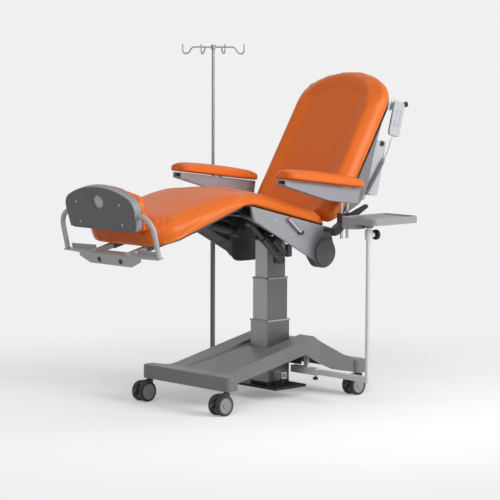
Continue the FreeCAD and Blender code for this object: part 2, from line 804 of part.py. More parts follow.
def back_half(s):
    """Half the width of the back at height s, straight sides under an arched top."""
    if s <= corner_s:
        return cushion_half
    if s <= join_s:
        return corner_w + math.sqrt(arch_corner_r ** 2 - (s - corner_s) ** 2)
    return math.sqrt(max(arch_top_r ** 2 - (s - arch_s) ** 2, 0.0))


def back_section(s, half, front, rise, round_in):
    """Cross-section with a flat middle panel between two rounded bolsters."""
    crease = half * 0.56
    rear = -back_rear
    crest = front + rise
    mid = 0.5 * (rear + front)
    edge = half - round_in
    ridge = 0.5 * (crease + edge)
    return Part.Wire([
        line((s, -edge, rear), (s, edge, rear)),
        arc((s, edge, rear), (s, half, mid), (s, edge, front)),
        arc((s, edge, front), (s, ridge, crest), (s, crease, front)),
        line((s, crease, front), (s, -crease, front)),
        arc((s, -crease, front), (s, -ridge, crest), (s, -edge, front)),
        arc((s, -edge, front), (s, -half, mid), (s, -edge, rear)),
    ])


lip_rows = ((-34.0, 24.0, 16.0, 5.0), (-27.0, 14.0, 9.0, 8.0), (-14.0, 5.0, 3.0, 12.0), (4.0, 0.0, 0.0, 16.0),
            (40.0, 0.0, 0.0, bolster_rise))
back_wires = []
for s, narrow, shallow, rise in lip_rows:
    back_wires.append(back_section(s, cushion_half - narrow, back_front - shallow, rise, 14.0))
straight = corner_s - 40.0
rows = [40.0 + straight * i / 14 for i in range(1, 15)]
rows += [corner_s + (join_s - corner_s) * i / 4 for i in (1, 2, 3, 4)]
rows += [join_s + (back_len - join_s) * f for f in (0.3, 0.55, 0.75, 0.88, 0.96)]
for s in rows:
    depth = min(1.0, 0.55 + 0.45 * (back_len - s) / 44.0)
    front = depth * (back_front + back_rear) - back_rear
    back_wires.append(back_section(s, back_half(s), front, depth * bolster_rise, 14.0 * depth))
hinge_recess = box(-80.0, back_start, -2 * cushion_half, 2 * cushion_half, -2 * back_rear, back_lip)
nodes["back_cushion"] = back.place(Part.makeLoft(back_wires, True).cut(hinge_recess))

# Leg frame and footrest

slide_size = arm_bar + 2 * slide_gap + 2 * 3.0
board_front = -leg_len + 60.0
slide_rear = -120.0
slide_pack = 30.0


def leg_board_low(x):
    return leg_under(x) - board_t


slide_z = leg_board_low(board_front) - slide_size / 2
slide_top = slide_z + slide_size / 2
board_pts = [(-board_in, leg_under(-board_in)), (-board_in, leg_board_low(-board_in)),
             (board_front, leg_board_low(board_front)), (board_front, leg_under(board_front))]
board = prism_y(board_pts, -270.0, 270.0)
for s in (1, -1):
    wedge = [V(board_front + 90.0, s * 271.0, -90.0), V(board_front - 2.0, s * 271.0, -90.0),
             V(board_front - 2.0, s * 222.0, -90.0)]
    board = board.cut(Part.Face(Part.makePolygon(wedge + wedge[:1])).extrude(V(0, 0, 180.0)))
leg_parts = [board]
for s in (1, -1):
    leg_parts.append(square_tube_x(board_front, slide_rear, s * arm_bar_y, slide_z, slide_size, 3.0))
    web = [(board_front + 12.0, slide_top - 1.0), (slide_rear, slide_top - 1.0),
           (slide_rear, leg_board_low(slide_rear) + 1.0),
           (board_front + 12.0, leg_board_low(board_front) + 1.0)]
    leg_parts.append(prism_y(web, s * arm_bar_y - 3.0, s * arm_bar_y + 3.0))
    pack_end = board_front + slide_pack
    pack = [(board_front, slide_top - 1.0), (pack_end, slide_top - 1.0),
            (pack_end, leg_board_low(pack_end) + 1.0), (board_front, leg_board_low(board_front) + 1.0)]
    leg_parts.append(prism_y(pack, s * arm_bar_y - slide_size / 2, s * arm_bar_y + slide_size / 2))
    y0 = from_side(s, knee_lug_y + lug_t + 2.0, lug_t)
    ear = lug([(2.0, -13.0), (-80.0, board_low - 24.0), (-80.0, leg_board_low(-80.0) + 1.0),
               (-26.0, leg_board_low(-26.0) + 1.0), (-2.0, 13.0)], 0.0, 0.0, 14.0, y0, lug_t)
    leg_parts.append(ear.cut(rod_y(hinge_pin_d / 2 + run_fit, 0.0, y0 - 1, y0 + lug_t + 1, 0.0)))
pin_world = seat.point(leg_pin_x, leg_pin_z)
px, pz = leg.local(pin_world)
lever_y = leg_act_y - 7.0 - 3.0 - 8.0
lever = lug([(px + 10.0, pz), (px - 10.0, pz), (-110.0, leg_board_low(-110.0) + 1.0),
             (-40.0, leg_board_low(-40.0) + 1.0)], px, pz, 12.0, lever_y, 8.0)
leg_parts += [lever, rod_y(act_pin_d / 2, px, lever_y, leg_act_y + 12.0, pz)]
nodes["leg_frame"] = leg.place(fuse(*leg_parts))

bracket_x = foot_plate_x + 14.0
foot_parts = []
h = arm_bar / 2
for s in (1, -1):
    y = s * arm_bar_y
    foot_parts.append(box(bracket_x, bracket_x + arm_len, y - h, y + h, slide_z - h, slide_z + h))
plate_in = 150.0
plate_out = 220.0
plate = [(-plate_out, wing_z), (plate_out, wing_z), (plate_out, wing_z - 16.0), (plate_in, wing_z - 46.0),
         (-plate_in, wing_z - 46.0), (-plate_out, wing_z - 16.0)]
corners = [V(bracket_x - 5.0, y, z) for y, z in plate]
foot_parts.append(Part.Face(Part.makePolygon(corners + corners[:1])).extrude(V(5.0, 0, 0)))
wing = [(bracket_x - 5.0, -1.0), (bracket_x - 5.0, plate_out), (bracket_x + 2.0, foot_tube_y - 14.0),
        (bracket_x + 2.0, foot_tube_y + 14.0), (bracket_x + 32.0, foot_tube_y + 14.0),
        (bracket_x + 48.0, plate_in), (bracket_x + 48.0, -1.0)]
corners = [V(x, y, wing_z) for x, y in wing]
wing_plate = Part.Face(Part.makePolygon(corners + corners[:1])).extrude(V(0, 0, 5.0))
flange = [(bracket_x + 44.0, plate_in), (bracket_x + 34.0, foot_tube_y - 14.0),
          (bracket_x + 38.0, foot_tube_y - 14.0), (bracket_x + 48.0, plate_in)]
corners = [V(x, y, wing_z) for x, y in flange]
wing_flange = Part.Face(Part.makePolygon(corners + corners[:1])).extrude(V(0, 0, 26.0))
foot_parts += [wing_plate, mirrored(wing_plate), wing_flange, mirrored(wing_flange)]
tube_x = bracket_x + 17.0
tube_top = 150.0
bend = foot_tube_y - plate_edge
path = Part.Wire([
    line((tube_x, foot_tube_y, wing_z + 5.0), (tube_x, foot_tube_y, tube_top - bend)),
    arc((tube_x, foot_tube_y, tube_top - bend),
        (tube_x, plate_edge + bend * math.sqrt(0.5), tube_top - bend + bend * math.sqrt(0.5)),
        (tube_x, plate_edge, tube_top)),
])
ring = Part.Wire([Part.makeCircle(foot_tube_d / 2, V(tube_x, foot_tube_y, wing_z + 5.0), V(0, 0, 1))])
bent = path.makePipeShell([ring], True, False)
foot_parts += [bent, mirrored(bent)]
nodes["footrest_bracket"] = leg.place(fuse(*foot_parts))


def foot_outline(x, side, rise):
    """Arched outline of the footrest, grown at its sides and its top."""
    low_half = plate_edge - 8.0 + side
    half = plate_edge + 2.0 + side
    top = foot_high + rise
    low = foot_low - side
    c = half - foot_corner_r
    centre_z = top - foot_arch_r
    corner_z = centre_z + math.sqrt((foot_arch_r - foot_corner_r) ** 2 - c * c)
    k = foot_arch_r / (foot_arch_r - foot_corner_r)
    join = (c * k, centre_z + (corner_z - centre_z) * k)
    lean = 0.5 * math.atan2(join[1] - corner_z, join[0] - c)
    turn = (c + foot_corner_r * math.cos(lean), corner_z + foot_corner_r * math.sin(lean))
    return Part.Wire([
        line((x, -low_half, low), (x, low_half, low)),
        line((x, low_half, low), (x, half, corner_z)),
        arc((x, half, corner_z), (x, turn[0], turn[1]), (x, join[0], join[1])),
        arc((x, join[0], join[1]), (x, 0, top), (x, -join[0], join[1])),
        arc((x, -join[0], join[1]), (x, -turn[0], turn[1]), (x, -half, corner_z)),
        line((x, -half, corner_z), (x, -low_half, low)),
    ])


back_plate = Part.Face(foot_outline(foot_plate_x, 0.0, 0.0)).extrude(V(foot_plate_w, 0, 0))
rim = [e for e in back_plate.Edges if max(v.X for v in e.Vertexes) < foot_plate_x + 0.1]
back_plate = back_plate.makeFillet(10.0, rim)
boss = rod(34.0, (foot_plate_x - 3.0, 0, 190.0), (foot_plate_x + 8.0, 0, 190.0))
back_plate = fuse(back_plate, boss)
tube_ends = fuse(bent, mirrored(bent))
nodes["footrest_plate"] = leg.place(back_plate.cut(tube_ends))
pad_x = foot_plate_x + foot_plate_w
pad_wires = [foot_outline(pad_x, -4.0, -4.0), foot_outline(pad_x + 0.3 * foot_pad_w, -2.0, foot_pad_rise),
             foot_outline(pad_x + 0.7 * foot_pad_w, -2.0, foot_pad_rise),
             foot_outline(pad_x + foot_pad_w, -14.0, foot_pad_rise - 14.0)]
foot_pad = Part.makeLoft(pad_wires, True)
nodes["footrest_pad"] = leg.place(foot_pad.cut(tube_ends))

# Back frame, shell, rear cover, push bar

pan_front = -back_rear
pan_rear = pan_front - board_t
pan_inset = 16.0


def back_board(x0, x1, z0, z1):
    lo = cushion_half - pan_inset
    edges = [line((x0, -lo, z0), (x0, lo, z0)), line((x0, lo, z0), (corner_s - 20.0, lo, z0)),
             arc((corner_s - 20.0, lo, z0), (corner_s + 74.0, lo - 36.0, z0), (x1 - 50.0, 190.0, z0)),
             arc((x1 - 50.0, 190.0, z0), (x1, 0, z0), (x1 - 50.0, -190.0, z0)),
             arc((x1 - 50.0, -190.0, z0), (corner_s + 74.0, -lo + 36.0, z0), (corner_s - 20.0, -lo, z0)),
             line((corner_s - 20.0, -lo, z0), (x0, -lo, z0))]
    return Part.Face(Part.Wire(edges)).extrude(V(0, 0, z1 - z0))


back_parts = [back_board(back_start + 8.0, back_len - 22.0, pan_rear, pan_front)]
for s in (1, -1):
    y0 = from_side(s, back_lug_y + lug_t + 2.0, lug_t)
    ear = lug([(10.0, 9.0), (back_start - 6.0, pan_front - 2.0), (back_start + 70.0, pan_front - 2.0),
               (back_start + 70.0, pan_rear), (back_start - 8.0, pan_rear), (-10.0, -9.0)],
              0.0, 0.0, 14.0, y0, lug_t)
    back_parts.append(ear.cut(rod_y(hinge_pin_d / 2 + run_fit, 0.0, y0 - 1, y0 + lug_t + 1, 0.0)))
qx, qz = back.local(seat.point(back_pin_x, back_pin_z))
lever_y = back_act_y - 7.0 - 3.0 - 8.0
lever = lug([(qx - 6.0, qz + 10.0), (back_start + 4.0, pan_front - 2.0), (back_start + 50.0, pan_front - 2.0),
             (back_start + 50.0, pan_rear), (qx + 6.0, qz - 10.0)], qx, qz, 12.0, lever_y, 8.0)
back_parts += [lever, rod_y(act_pin_d / 2, qx, lever_y, back_act_y + 12.0, qz)]
nodes["back_frame"] = back.place(fuse(*back_parts))

shell_rows = ((96.0, 74.0, 250.0), (160.0, 84.0, 270.0), (270.0, 62.0, 282.0), (408.0, 36.0, 284.0),
              (back_len - 285.0, 18.0, 280.0), (back_len - 155.0, 8.0, 250.0))


def shell_section(s, depth, half, front, inset):
    rear = pan_rear - depth + inset
    w = half - inset
    r = min(0.8 * (depth - inset), 26.0)
    k = r * (1 - math.sqrt(0.5))
    return Part.Wire([
        line((s, -w, front), (s, w, front)),
        line((s, w, front), (s, w, rear + r)),
        arc((s, w, rear + r), (s, w - k, rear + k), (s, w - r, rear)),
        line((s, w - r, rear), (s, -w + r, rear)),
        arc((s, -w + r, rear), (s, -w + k, rear + k), (s, -w, rear + r)),
        line((s, -w, rear + r), (s, -w, front)),
    ])


shell = Part.makeLoft([shell_section(s, d, w, pan_rear, 0.0) for s, d, w in shell_rows], True, True)
cavity_rows = [(s, d, w) for s, d, w in shell_rows if d > 12.0]
cavity_rows[0] = (cavity_rows[0][0] + 5.0, cavity_rows[0][1], cavity_rows[0][2])
cavity = Part.makeLoft([shell_section(s, d, w, pan_rear + 2.0, 4.0) for s, d, w in cavity_rows], True, True)
shell = shell.cut(cavity)

rear_half = 240.0


def shell_rear(s):
    """Depth of the back shell's rear face at height s."""
    for (s0, d0, w0), (s1, d1, w1) in zip(shell_rows, shell_rows[1:]):
        if s <= s1:
            return pan_rear - d0 - (d1 - d0) * (s - s0) / (s1 - s0)
    return pan_rear - shell_rows[-1][1]


rear_rows = [(270.0, shell_rear(270.0)), (408.0, shell_rear(408.0)), (490.0, shell_rear(490.0)),
             (534.0, -158.0), (264.0, -245.0), (246.0, -190.0)]
rear_box = prism_y(rear_rows, -rear_half, rear_half)
round_edges = [e for e in rear_box.Edges if abs(e.CenterOfMass.y) < 1.0 and e.CenterOfMass.z < -150.0]
rear_box = rear_box.makeFillet(12.0, round_edges)
inner_rows = [(274.0, shell_rear(274.0) + 4.0), (408.0, shell_rear(408.0) + 4.0),
              (484.0, shell_rear(484.0) + 4.0), (522.0, -156.0), (270.0, -237.0), (254.0, -188.0)]
inside = prism_y(inner_rows, -rear_half + base_wall, rear_half - base_wall)
nodes["rear_cover"] = back.place(rear_box.cut(inside))

bar_p = back.point(push_s, push_t)
bar_shape = rod_y(push_bar_d / 2, bar_p.x, -push_half, push_half, bar_p.z)
foot_s0 = push_s - 108.0
foot_s1 = push_s - 34.0
arm_pts = [(push_s - 14.0, push_t - 10.0), (push_s + 12.0, push_t), (push_s - 14.0, pan_rear - 50.0),
           (foot_s1, pan_rear - 10.0), (foot_s0 + 14.0, pan_rear - 14.0), (foot_s0 + 14.0, pan_rear - 44.0),
           (push_s - 36.0, push_t + 22.0)]
bar_solid = bar_shape
for s in (1, -1):
    y0 = min(s * 226.0, s * 238.0)
    bar_solid = bar_solid.fuse(back.place(prism_y(arm_pts, y0, y0 + 12.0)))
    foot = box(foot_s0, foot_s1, y0 - 10.0, y0 + 22.0, pan_rear - 14.0, pan_rear)
    bar_solid = bar_solid.fuse(back.place(foot))
    notch = box(foot_s0 - 1.0, foot_s1 + 1.0, y0 - 11.0, y0 + 23.0, pan_rear - 40.0, pan_rear + 1.0)
    shell = shell.cut(notch)
nodes["push_bar"] = bar_solid.removeSplitter()


# Handset and curly cord

hand_x = bar_p.x - hand_back
hand_z = bar_p.z - hand_drop
hand_y = -238.0
hand = box(-hand_w / 2, hand_w / 2, 0.0, hand_t, -hand_h / 2, hand_h / 2)
hand_edges = [e for e in hand.Edges if abs(e.tangentAt(e.FirstParameter).y) > 0.99]
hand = hand.makeFillet(14.0, hand_edges)
hand_front = [e for e in hand.Edges if max(v.Y for v in e.Vertexes) < 0.1]
hand = hand.makeFillet(5.0, hand_front)
boot = Part.makeCone(cord_d / 2 + 1.0, cord_d / 2 + 3.5, 22.0, V(-6.0, hand_t / 2, -hand_h / 2 - 20.0))
hand = fuse(hand, boot)
hand.rotate(V(0, 0, 0), V(0, 1, 0), hand_lean)
hand.translate(V(hand_x, hand_y - hand_t, hand_z))
nodes["handset"] = hand
tip = FreeCAD.Rotation(V(0, 1, 0), hand_lean).multVec(V(-6.0, 0, -hand_h / 2 - 20.0))
cord_start = tip + V(hand_x, hand_y - hand_t / 2, hand_z)
cord_dir = FreeCAD.Rotation(V(0, 1, 0), hand_lean).multVec(V(0, 0, -1))

gland_base = back.point(gland_s, shell_rear(gland_s))
gland_dir = FreeCAD.Rotation(V(0, 1, 0), back_angle).multVec(V(0, 0, -1))
gland_base = V(gland_base.x, coil_low[1], gland_base.z)
gland_tip = gland_base + gland_dir * gland_len
gland = Part.makeCone(gland_d / 2, cord_d / 2 + 2.0, gland_len, gland_base, gland_dir)
nail = Part.makeCylinder(gland_d / 2 - 3.0, 12.0, gland_base - gland_dir * 12.0, gland_dir)
flange = Part.makeCylinder(gland_d / 2, 2.5, gland_base - gland_dir * 2.5, gland_dir)
nodes["cord_gland"] = fuse(gland, flange, nail)
nodes["back_shell"] = back.place(shell).cut(nodes["cord_gland"])


def biarc(p0, t0, p1, t1):
    """Two arcs that leave p0 along t0 and reach p1 along t1, as corner points."""
    v = p1 - p0
    t = t0 + t1
    a = 2 * t0.dot(t1) - 2
    b = -2 * v.dot(t)
    c = v.dot(v)
    if abs(a) < 1e-9:
        d = -c / b
    else:
        root = math.sqrt(b * b - 4 * a * c)
        d = max((-b + root) / (2 * a), (-b - root) / (2 * a))
    q0 = p0 + t0 * d
    q1 = p1 - t1 * d
    m = (q0 + q1) * 0.5
    return [(p0, q0, m), (m, q1, p1)]


def corner_arc(a, q, b):
    chord = b - a
    mid = (a + b) * 0.5
    rise = q - mid
    if rise.Length < 1e-6:
        return Part.makeLine(a, b)
    half = 0.5 * (q - a).getAngle(chord)
    sag = 0.5 * chord.Length * math.tan(half)
    return Part.Arc(a, mid + rise.normalize() * sag, b).toShape()


def tube_along(edges, start, direction, radius):
    ring = Part.Wire([Part.makeCircle(radius, start, direction)])
    return Part.Wire(edges).makePipeShell([ring], True, False)


axis_top = V(*coil_top)
axis_run = V(*coil_low) - axis_top
coil_dir = V(axis_run).normalize()
side_dir = coil_dir.cross(V(0, 1, 0)).normalize()
out_dir = coil_dir.cross(side_dir).normalize()
rise = axis_run.Length / coil_turns


def coil_point(turn):
    a = 2 * math.pi * turn
    return axis_top + coil_dir * (rise * turn) + (side_dir * math.cos(a) + out_dir * math.sin(a)) * coil_r


def coil_tangent(turn):
    a = 2 * math.pi * turn
    around = (out_dir * math.cos(a) - side_dir * math.sin(a)) * (2 * math.pi * coil_r)
    return (around + coil_dir * rise).normalize()


lead_in = cord_start + cord_dir * cord_d
lead_out = gland_tip + gland_dir * cord_d
stations = [(lead_in, cord_dir)]
for i in range(2 * coil_turns + 1):
    stations.append((coil_point(i / 2), coil_tangent(i / 2)))
stations.append((lead_out, gland_dir * -1))
cord_edges = [Part.makeLine(cord_start, lead_in)]
for (p0, t0), (p1, t1) in zip(stations, stations[1:]):
    for a, q, b in biarc(p0, t0, p1, t1):
        cord_edges.append(corner_arc(a, q, b))
cord_edges.append(Part.makeLine(lead_out, gland_tip))
nodes["handset_cord"] = tube_along(cord_edges, cord_start, cord_dir, cord_d / 2)

# Armrests

arm_pad_x = post_x[0] - arm_back
arm_pad_z = socket_top + arm_rise


def on_arm(shape):
    moved = shape.copy()
    moved.rotate(V(0, 0, 0), V(0, 1, 0), arm_tilt)
    moved.translate(V(arm_pad_x, 0, arm_pad_z))
    return moved


def arm_under(x):
    return 0.0


pad_edge = 0.8 * arm_pad_t
pad_crown = arm_pad_t - pad_edge
half_len = arm_pad_len / 2
head_end = 64.0
foot_end = 44.0
head_rows = end_stations(half_len - head_end, head_end, head_end, arm_pad_half, arm_under,
                         pad_edge, pad_crown, 0.35)
foot_rows = end_stations(-half_len + foot_end, -foot_end, foot_end, arm_pad_half, arm_under,
                         pad_edge, pad_crown, 0.2)
arm_pad = on_arm(pad(list(reversed(foot_rows)) + head_rows, 13.0, 18.0))
arm_pad.translate(V(0, arm_y, 0))
nodes["arm_pad_right"] = arm_pad
nodes["arm_pad_left"] = mirrored(arm_pad)

arm_in = arm_y - arm_support_half - 4.0
arm_out = arm_y + arm_support_half - 8.0
arm_front = -half_len + 8.0
arm_rear = half_len - 24.0
body = prism_y([(arm_front, 0.0), (arm_rear, 0.0), (arm_rear - 2.0, -72.0), (104.0, -76.0), (40.0, -74.0),
                (arm_front, -28.0)], arm_in, arm_out)
arm_edges = [e for e in body.Edges if abs(e.tangentAt(e.FirstParameter).y) > 0.99 and e.CenterOfMass.z < -5.0]
body = body.makeFillet(8.0, arm_edges)
mouth = prism_y([(arm_front - 4.0, -5.0), (arm_front + 76.0, -5.0), (arm_front + 76.0, -30.0),
                 (arm_front - 4.0, -22.0)], arm_in + 8.0, arm_out - 8.0)
slot = box(arm_front + 30.0, arm_front + 0.7 * arm_pad_len, arm_out - 4.0, arm_out + 1.0, -8.0, -4.0)
arm_body = on_arm(body.cut(mouth).cut(slot))
for x in post_x:
    post = Part.makeCylinder(post_d / 2, arm_pad_z - 40.0 - post_low, V(x, arm_y, post_low))
    arm_body = arm_body.fuse(post)
arm_body = arm_body.removeSplitter()
nodes["arm_support_right"] = arm_body
nodes["arm_support_left"] = mirrored(arm_body)

lever_x = post_x[0] + 24.0
lever_z = socket_top - 16.0
lever_in = arm_y + 28.0
lever_tip = (lever_x + 112.0, lever_z + 48.0)
lever = lug([(lever_x - 6.0, lever_z + 15.0), (lever_tip[0] - 3.0, lever_tip[1] + 7.0),
             (lever_tip[0] + 3.0, lever_tip[1] - 7.0), (lever_x + 6.0, lever_z - 15.0)],
            lever_x, lever_z, 17.0, lever_in, 20.0)
lever = lever.cut(rod_y(9.0 + run_fit, lever_x, lever_in - 1.0, lever_in + 21.0, lever_z))
nodes["arm_lever_right"] = lever
nodes["arm_lever_left"] = mirrored(lever)

# Accessory sleeves, bars and their screws

sleeve = bar + 2 * sleeve_wall
sleeve_half = sleeve / 2
bar_half = bar / 2


def sleeve_at(x, s):
    y0 = min(s * (outer_y / 2 - 1.0), s * sleeve_out)
    y1 = max(s * (outer_y / 2 - 1.0), s * sleeve_out)
    body = box(x - sleeve_half, x + sleeve_half, y0, y1, bar_z - sleeve_half, bar_z + sleeve_half)
    yh = s * (beam_in + 50.0)
    hanger = box(x - 6.0, x + 6.0, yh - 14.0, yh + 14.0, bar_z + sleeve_half - 1.0, crest_z - 40.0)
    body = body.fuse(hanger).cut(nodes["base_frame"])
    body = max(body.Solids, key=lambda solid: solid.Volume)
    body = body.cut(box(x - bar_half, x + bar_half, y0 - 1, y1 + 1, bar_z - bar_half, bar_z + bar_half))
    hole = Part.makeCylinder(knob_shank / 2, 20.0, V(x, s * (sleeve_out - 21.0), bar_z - sleeve_half - 8.0))
    return body.cut(hole)


def thumb_screw(x, y, z_top, wall):
    shank = Part.makeCylinder(knob_shank / 2, 12.0 + wall, V(x, y, z_top - 12.0 - wall))
    knob = Part.makeCylinder(13.0, 12.0, V(x, y, z_top - 24.0 - wall))
    return fuse(shank, knob)


stub_out = outer_y / 2 + 64.0
stub_half = stub / 2
stub_tube = box(stub_x - stub_half, stub_x + stub_half, -stub_out, -outer_y / 2,
                stub_z - stub_half, stub_z + stub_half)
inner = stub_half - sleeve_wall
stub_bore = box(stub_x - inner, stub_x + inner, -stub_out - 1, -outer_y / 2 - 6.0,
                stub_z - inner, stub_z + inner)
stub_screw_y = -stub_out + 22.0
stub_hole = Part.makeCylinder(knob_shank / 2, 12.0, V(stub_x, stub_screw_y, stub_z - stub_half - 4.0))
stub_tube = stub_tube.cut(stub_bore).cut(stub_hole)
nodes["accessory_sleeves"] = Part.makeCompound([sleeve_at(bar_x, -1), sleeve_at(iv_x, 1), stub_tube])
nodes["bar_thumb_screws"] = Part.makeCompound([
    thumb_screw(bar_x, -sleeve_out + 21.0, bar_z - bar_half, sleeve_wall),
    thumb_screw(iv_x, sleeve_out - 21.0, bar_z - bar_half, sleeve_wall),
    thumb_screw(stub_x, stub_screw_y, stub_z - inner, sleeve_wall)])


def pole_knob(x, y, r_pole, r_rod, z):
    """Clamp knob whose screw runs through the pole's collar toward the rod."""
    shank = rod(knob_shank / 2, (x + r_rod + 0.5, y, z), (x + r_pole + 32.0, y, z))
    head = rod(knob_d / 2, (x + r_pole + 30.0, y, z), (x + r_pole + 46.0, y, z))
    head = head.makeFillet(4.0, head.Edges)
    return fuse(shank, head)


def clamp_collar(x, y, r_pole, z0, z1, zk):
    collar = Part.makeCylinder(r_pole + 6.0, z1 - z0, V(x, y, z0))
    boss = rod(12.0, (x, y, zk), (x + r_pole + 20.0, y, zk))
    return collar.fuse(boss)


tray_r = tray_pole_d / 2
knob_z = tray_pole_top - 26.0
tray_tube = Part.makeCylinder(tray_r, tray_pole_top - 112.0, V(bar_x, tray_y, 112.0))
nodes["tray_bar"] = box(bar_x - bar_half, bar_x + bar_half, tray_y, -outer_y / 2 - 20.0,
                        bar_z - bar_half, bar_z + bar_half).cut(tray_tube)
nodes["tray_bar"] = max(nodes["tray_bar"].Solids, key=lambda solid: solid.Volume)
tray_tube = fuse(tray_tube, clamp_collar(bar_x, tray_y, tray_r, tray_pole_top - 48.0, tray_pole_top, knob_z))
tray_bore = Part.makeCylinder(tray_rod_d / 2 + run_fit, tray_pole_top, V(bar_x, tray_y, tray_bore_low))
tray_tube = tray_tube.cut(tray_bore)
knob_hole = rod(knob_shank / 2 + run_fit, (bar_x, tray_y, knob_z), (bar_x + 60.0, tray_y, knob_z))
nodes["tray_pole"] = tray_tube.cut(knob_hole)
nodes["tray_clamp_knob"] = pole_knob(bar_x, tray_y, tray_r, tray_rod_d / 2, knob_z)
tray_low = tray_top_z - tray_t
rod_top = tray_low + 10.0
tray_rod = Part.makeCylinder(tray_rod_d / 2, rod_top - tray_rod_low, V(bar_x, tray_y, tray_rod_low))
nodes["tray_rod"] = tray_rod

tray_y0 = tray_y - tray_wid / 2
tray = box(tray_x0, tray_x0 + tray_len, tray_y0, tray_y0 + tray_wid, tray_low, tray_top_z)
upright = [e for e in tray.Edges if abs(e.tangentAt(e.FirstParameter).z) > 0.99]
tray = tray.makeFillet(26.0, upright)
rim = [e for e in tray.Edges if min(v.Z for v in e.Vertexes) > tray_top_z - 0.1]
tray = tray.makeFillet(5.0, rim)
recess = box(tray_x0 + tray_lip, tray_x0 + tray_len - tray_lip, tray_y0 + tray_lip,
             tray_y0 + tray_wid - tray_lip, tray_top_z - tray_recess, tray_top_z + 1.0)
upright = [e for e in recess.Edges if abs(e.tangentAt(e.FirstParameter).z) > 0.99]
tray = tray.cut(recess.makeFillet(18.0, upright))
hub = Part.makeCylinder(22.0, 22.0, V(bar_x, tray_y, tray_low - 20.0))
tray_y1 = tray_y0 + tray_wid
well = box(tray_x0, tray_x0 + well_x, tray_y1 - well_y, tray_y1, well_z, tray_top_z - 8.0)
well_edges = [e for e in well.Edges if abs(e.tangentAt(e.FirstParameter).z) > 0.99]
well = well.makeFillet(26.0, well_edges)
well_in = box(tray_x0 + well_wall, tray_x0 + well_x - well_wall, tray_y1 - well_y + well_wall,
              tray_y1 - well_wall, well_z + well_wall, tray_top_z + 1.0)
well_edges = [e for e in well_in.Edges if abs(e.tangentAt(e.FirstParameter).z) > 0.99]
well_in = well_in.makeFillet(26.0 - well_wall, well_edges)
tray = fuse(tray, hub, well).cut(well_in)
rod_bore = Part.makeCylinder(tray_rod_d / 2 + run_fit, 32.0, V(bar_x, tray_y, rod_top + 0.4 - 32.0))
nodes["tray_top"] = tray.cut(rod_bore)

iv_r = iv_tube_d / 2
iv_knob_z = iv_tube_top - 22.0
iv_tube = Part.makeCylinder(iv_r, iv_tube_top - 106.0, V(iv_x, iv_y, 106.0))
iv_bar = box(iv_x - bar_half, iv_x + bar_half, outer_y / 2 + 20.0, iv_y, bar_z - bar_half, bar_z + bar_half)
iv_bar = iv_bar.cut(iv_tube)
nodes["iv_bar"] = max(iv_bar.Solids, key=lambda solid: solid.Volume)
iv_tube = fuse(iv_tube, clamp_collar(iv_x, iv_y, iv_r, iv_tube_top - 40.0, iv_tube_top, iv_knob_z))
iv_tube = iv_tube.cut(Part.makeCylinder(iv_rod_d / 2 + run_fit, iv_tube_top, V(iv_x, iv_y, iv_bore_low)))
knob_hole = rod(knob_shank / 2 + run_fit, (iv_x, iv_y, iv_knob_z), (iv_x + 60.0, iv_y, iv_knob_z))
nodes["iv_pole"] = iv_tube.cut(knob_hole)
nodes["iv_clamp_knob"] = pole_knob(iv_x, iv_y, iv_r, iv_rod_d / 2, iv_knob_z)

hook_z = iv_top - 12.0
iv_rod = Part.makeCylinder(iv_rod_d / 2, iv_top - 6.0 - iv_rod_low, V(iv_x, iv_y, iv_rod_low))
hub = Part.makeCylinder(iv_rod_d / 2 + 5.0, 24.0, V(iv_x, iv_y, iv_top - 24.0))
hub = hub.makeFillet(4.0, hub.Edges)


def bag_hook(turn):
    """One wire hook that leaves the mast level, dips and turns up at its end."""
    out = V(math.cos(math.radians(turn)), math.sin(math.radians(turn)), 0)
    up = V(0, 0, 1)
    start = V(iv_x, iv_y, hook_z) + out * 4.0
    flat_end = start + out * (0.6 * hook_reach - 4.0)
    dip = start + out * (0.9 * hook_reach - 4.0) - up * 34.0
    turn_up = start + out * (hook_reach - 4.0) - up * 14.0
    edges = [Part.makeLine(start, flat_end)]
    for a, q, b in biarc(flat_end, out, dip, out) + biarc(dip, out, turn_up, up):
        edges.append(corner_arc(a, q, b))
    edges.append(Part.makeLine(turn_up, turn_up + up * 29.0))
    return tube_along(edges, start, out, hook_wire / 2)


hooks = [bag_hook(hook_turn + 90.0 * i) for i in range(4)]
nodes["iv_rod"] = fuse(iv_rod, hub, *hooks)

# Castors

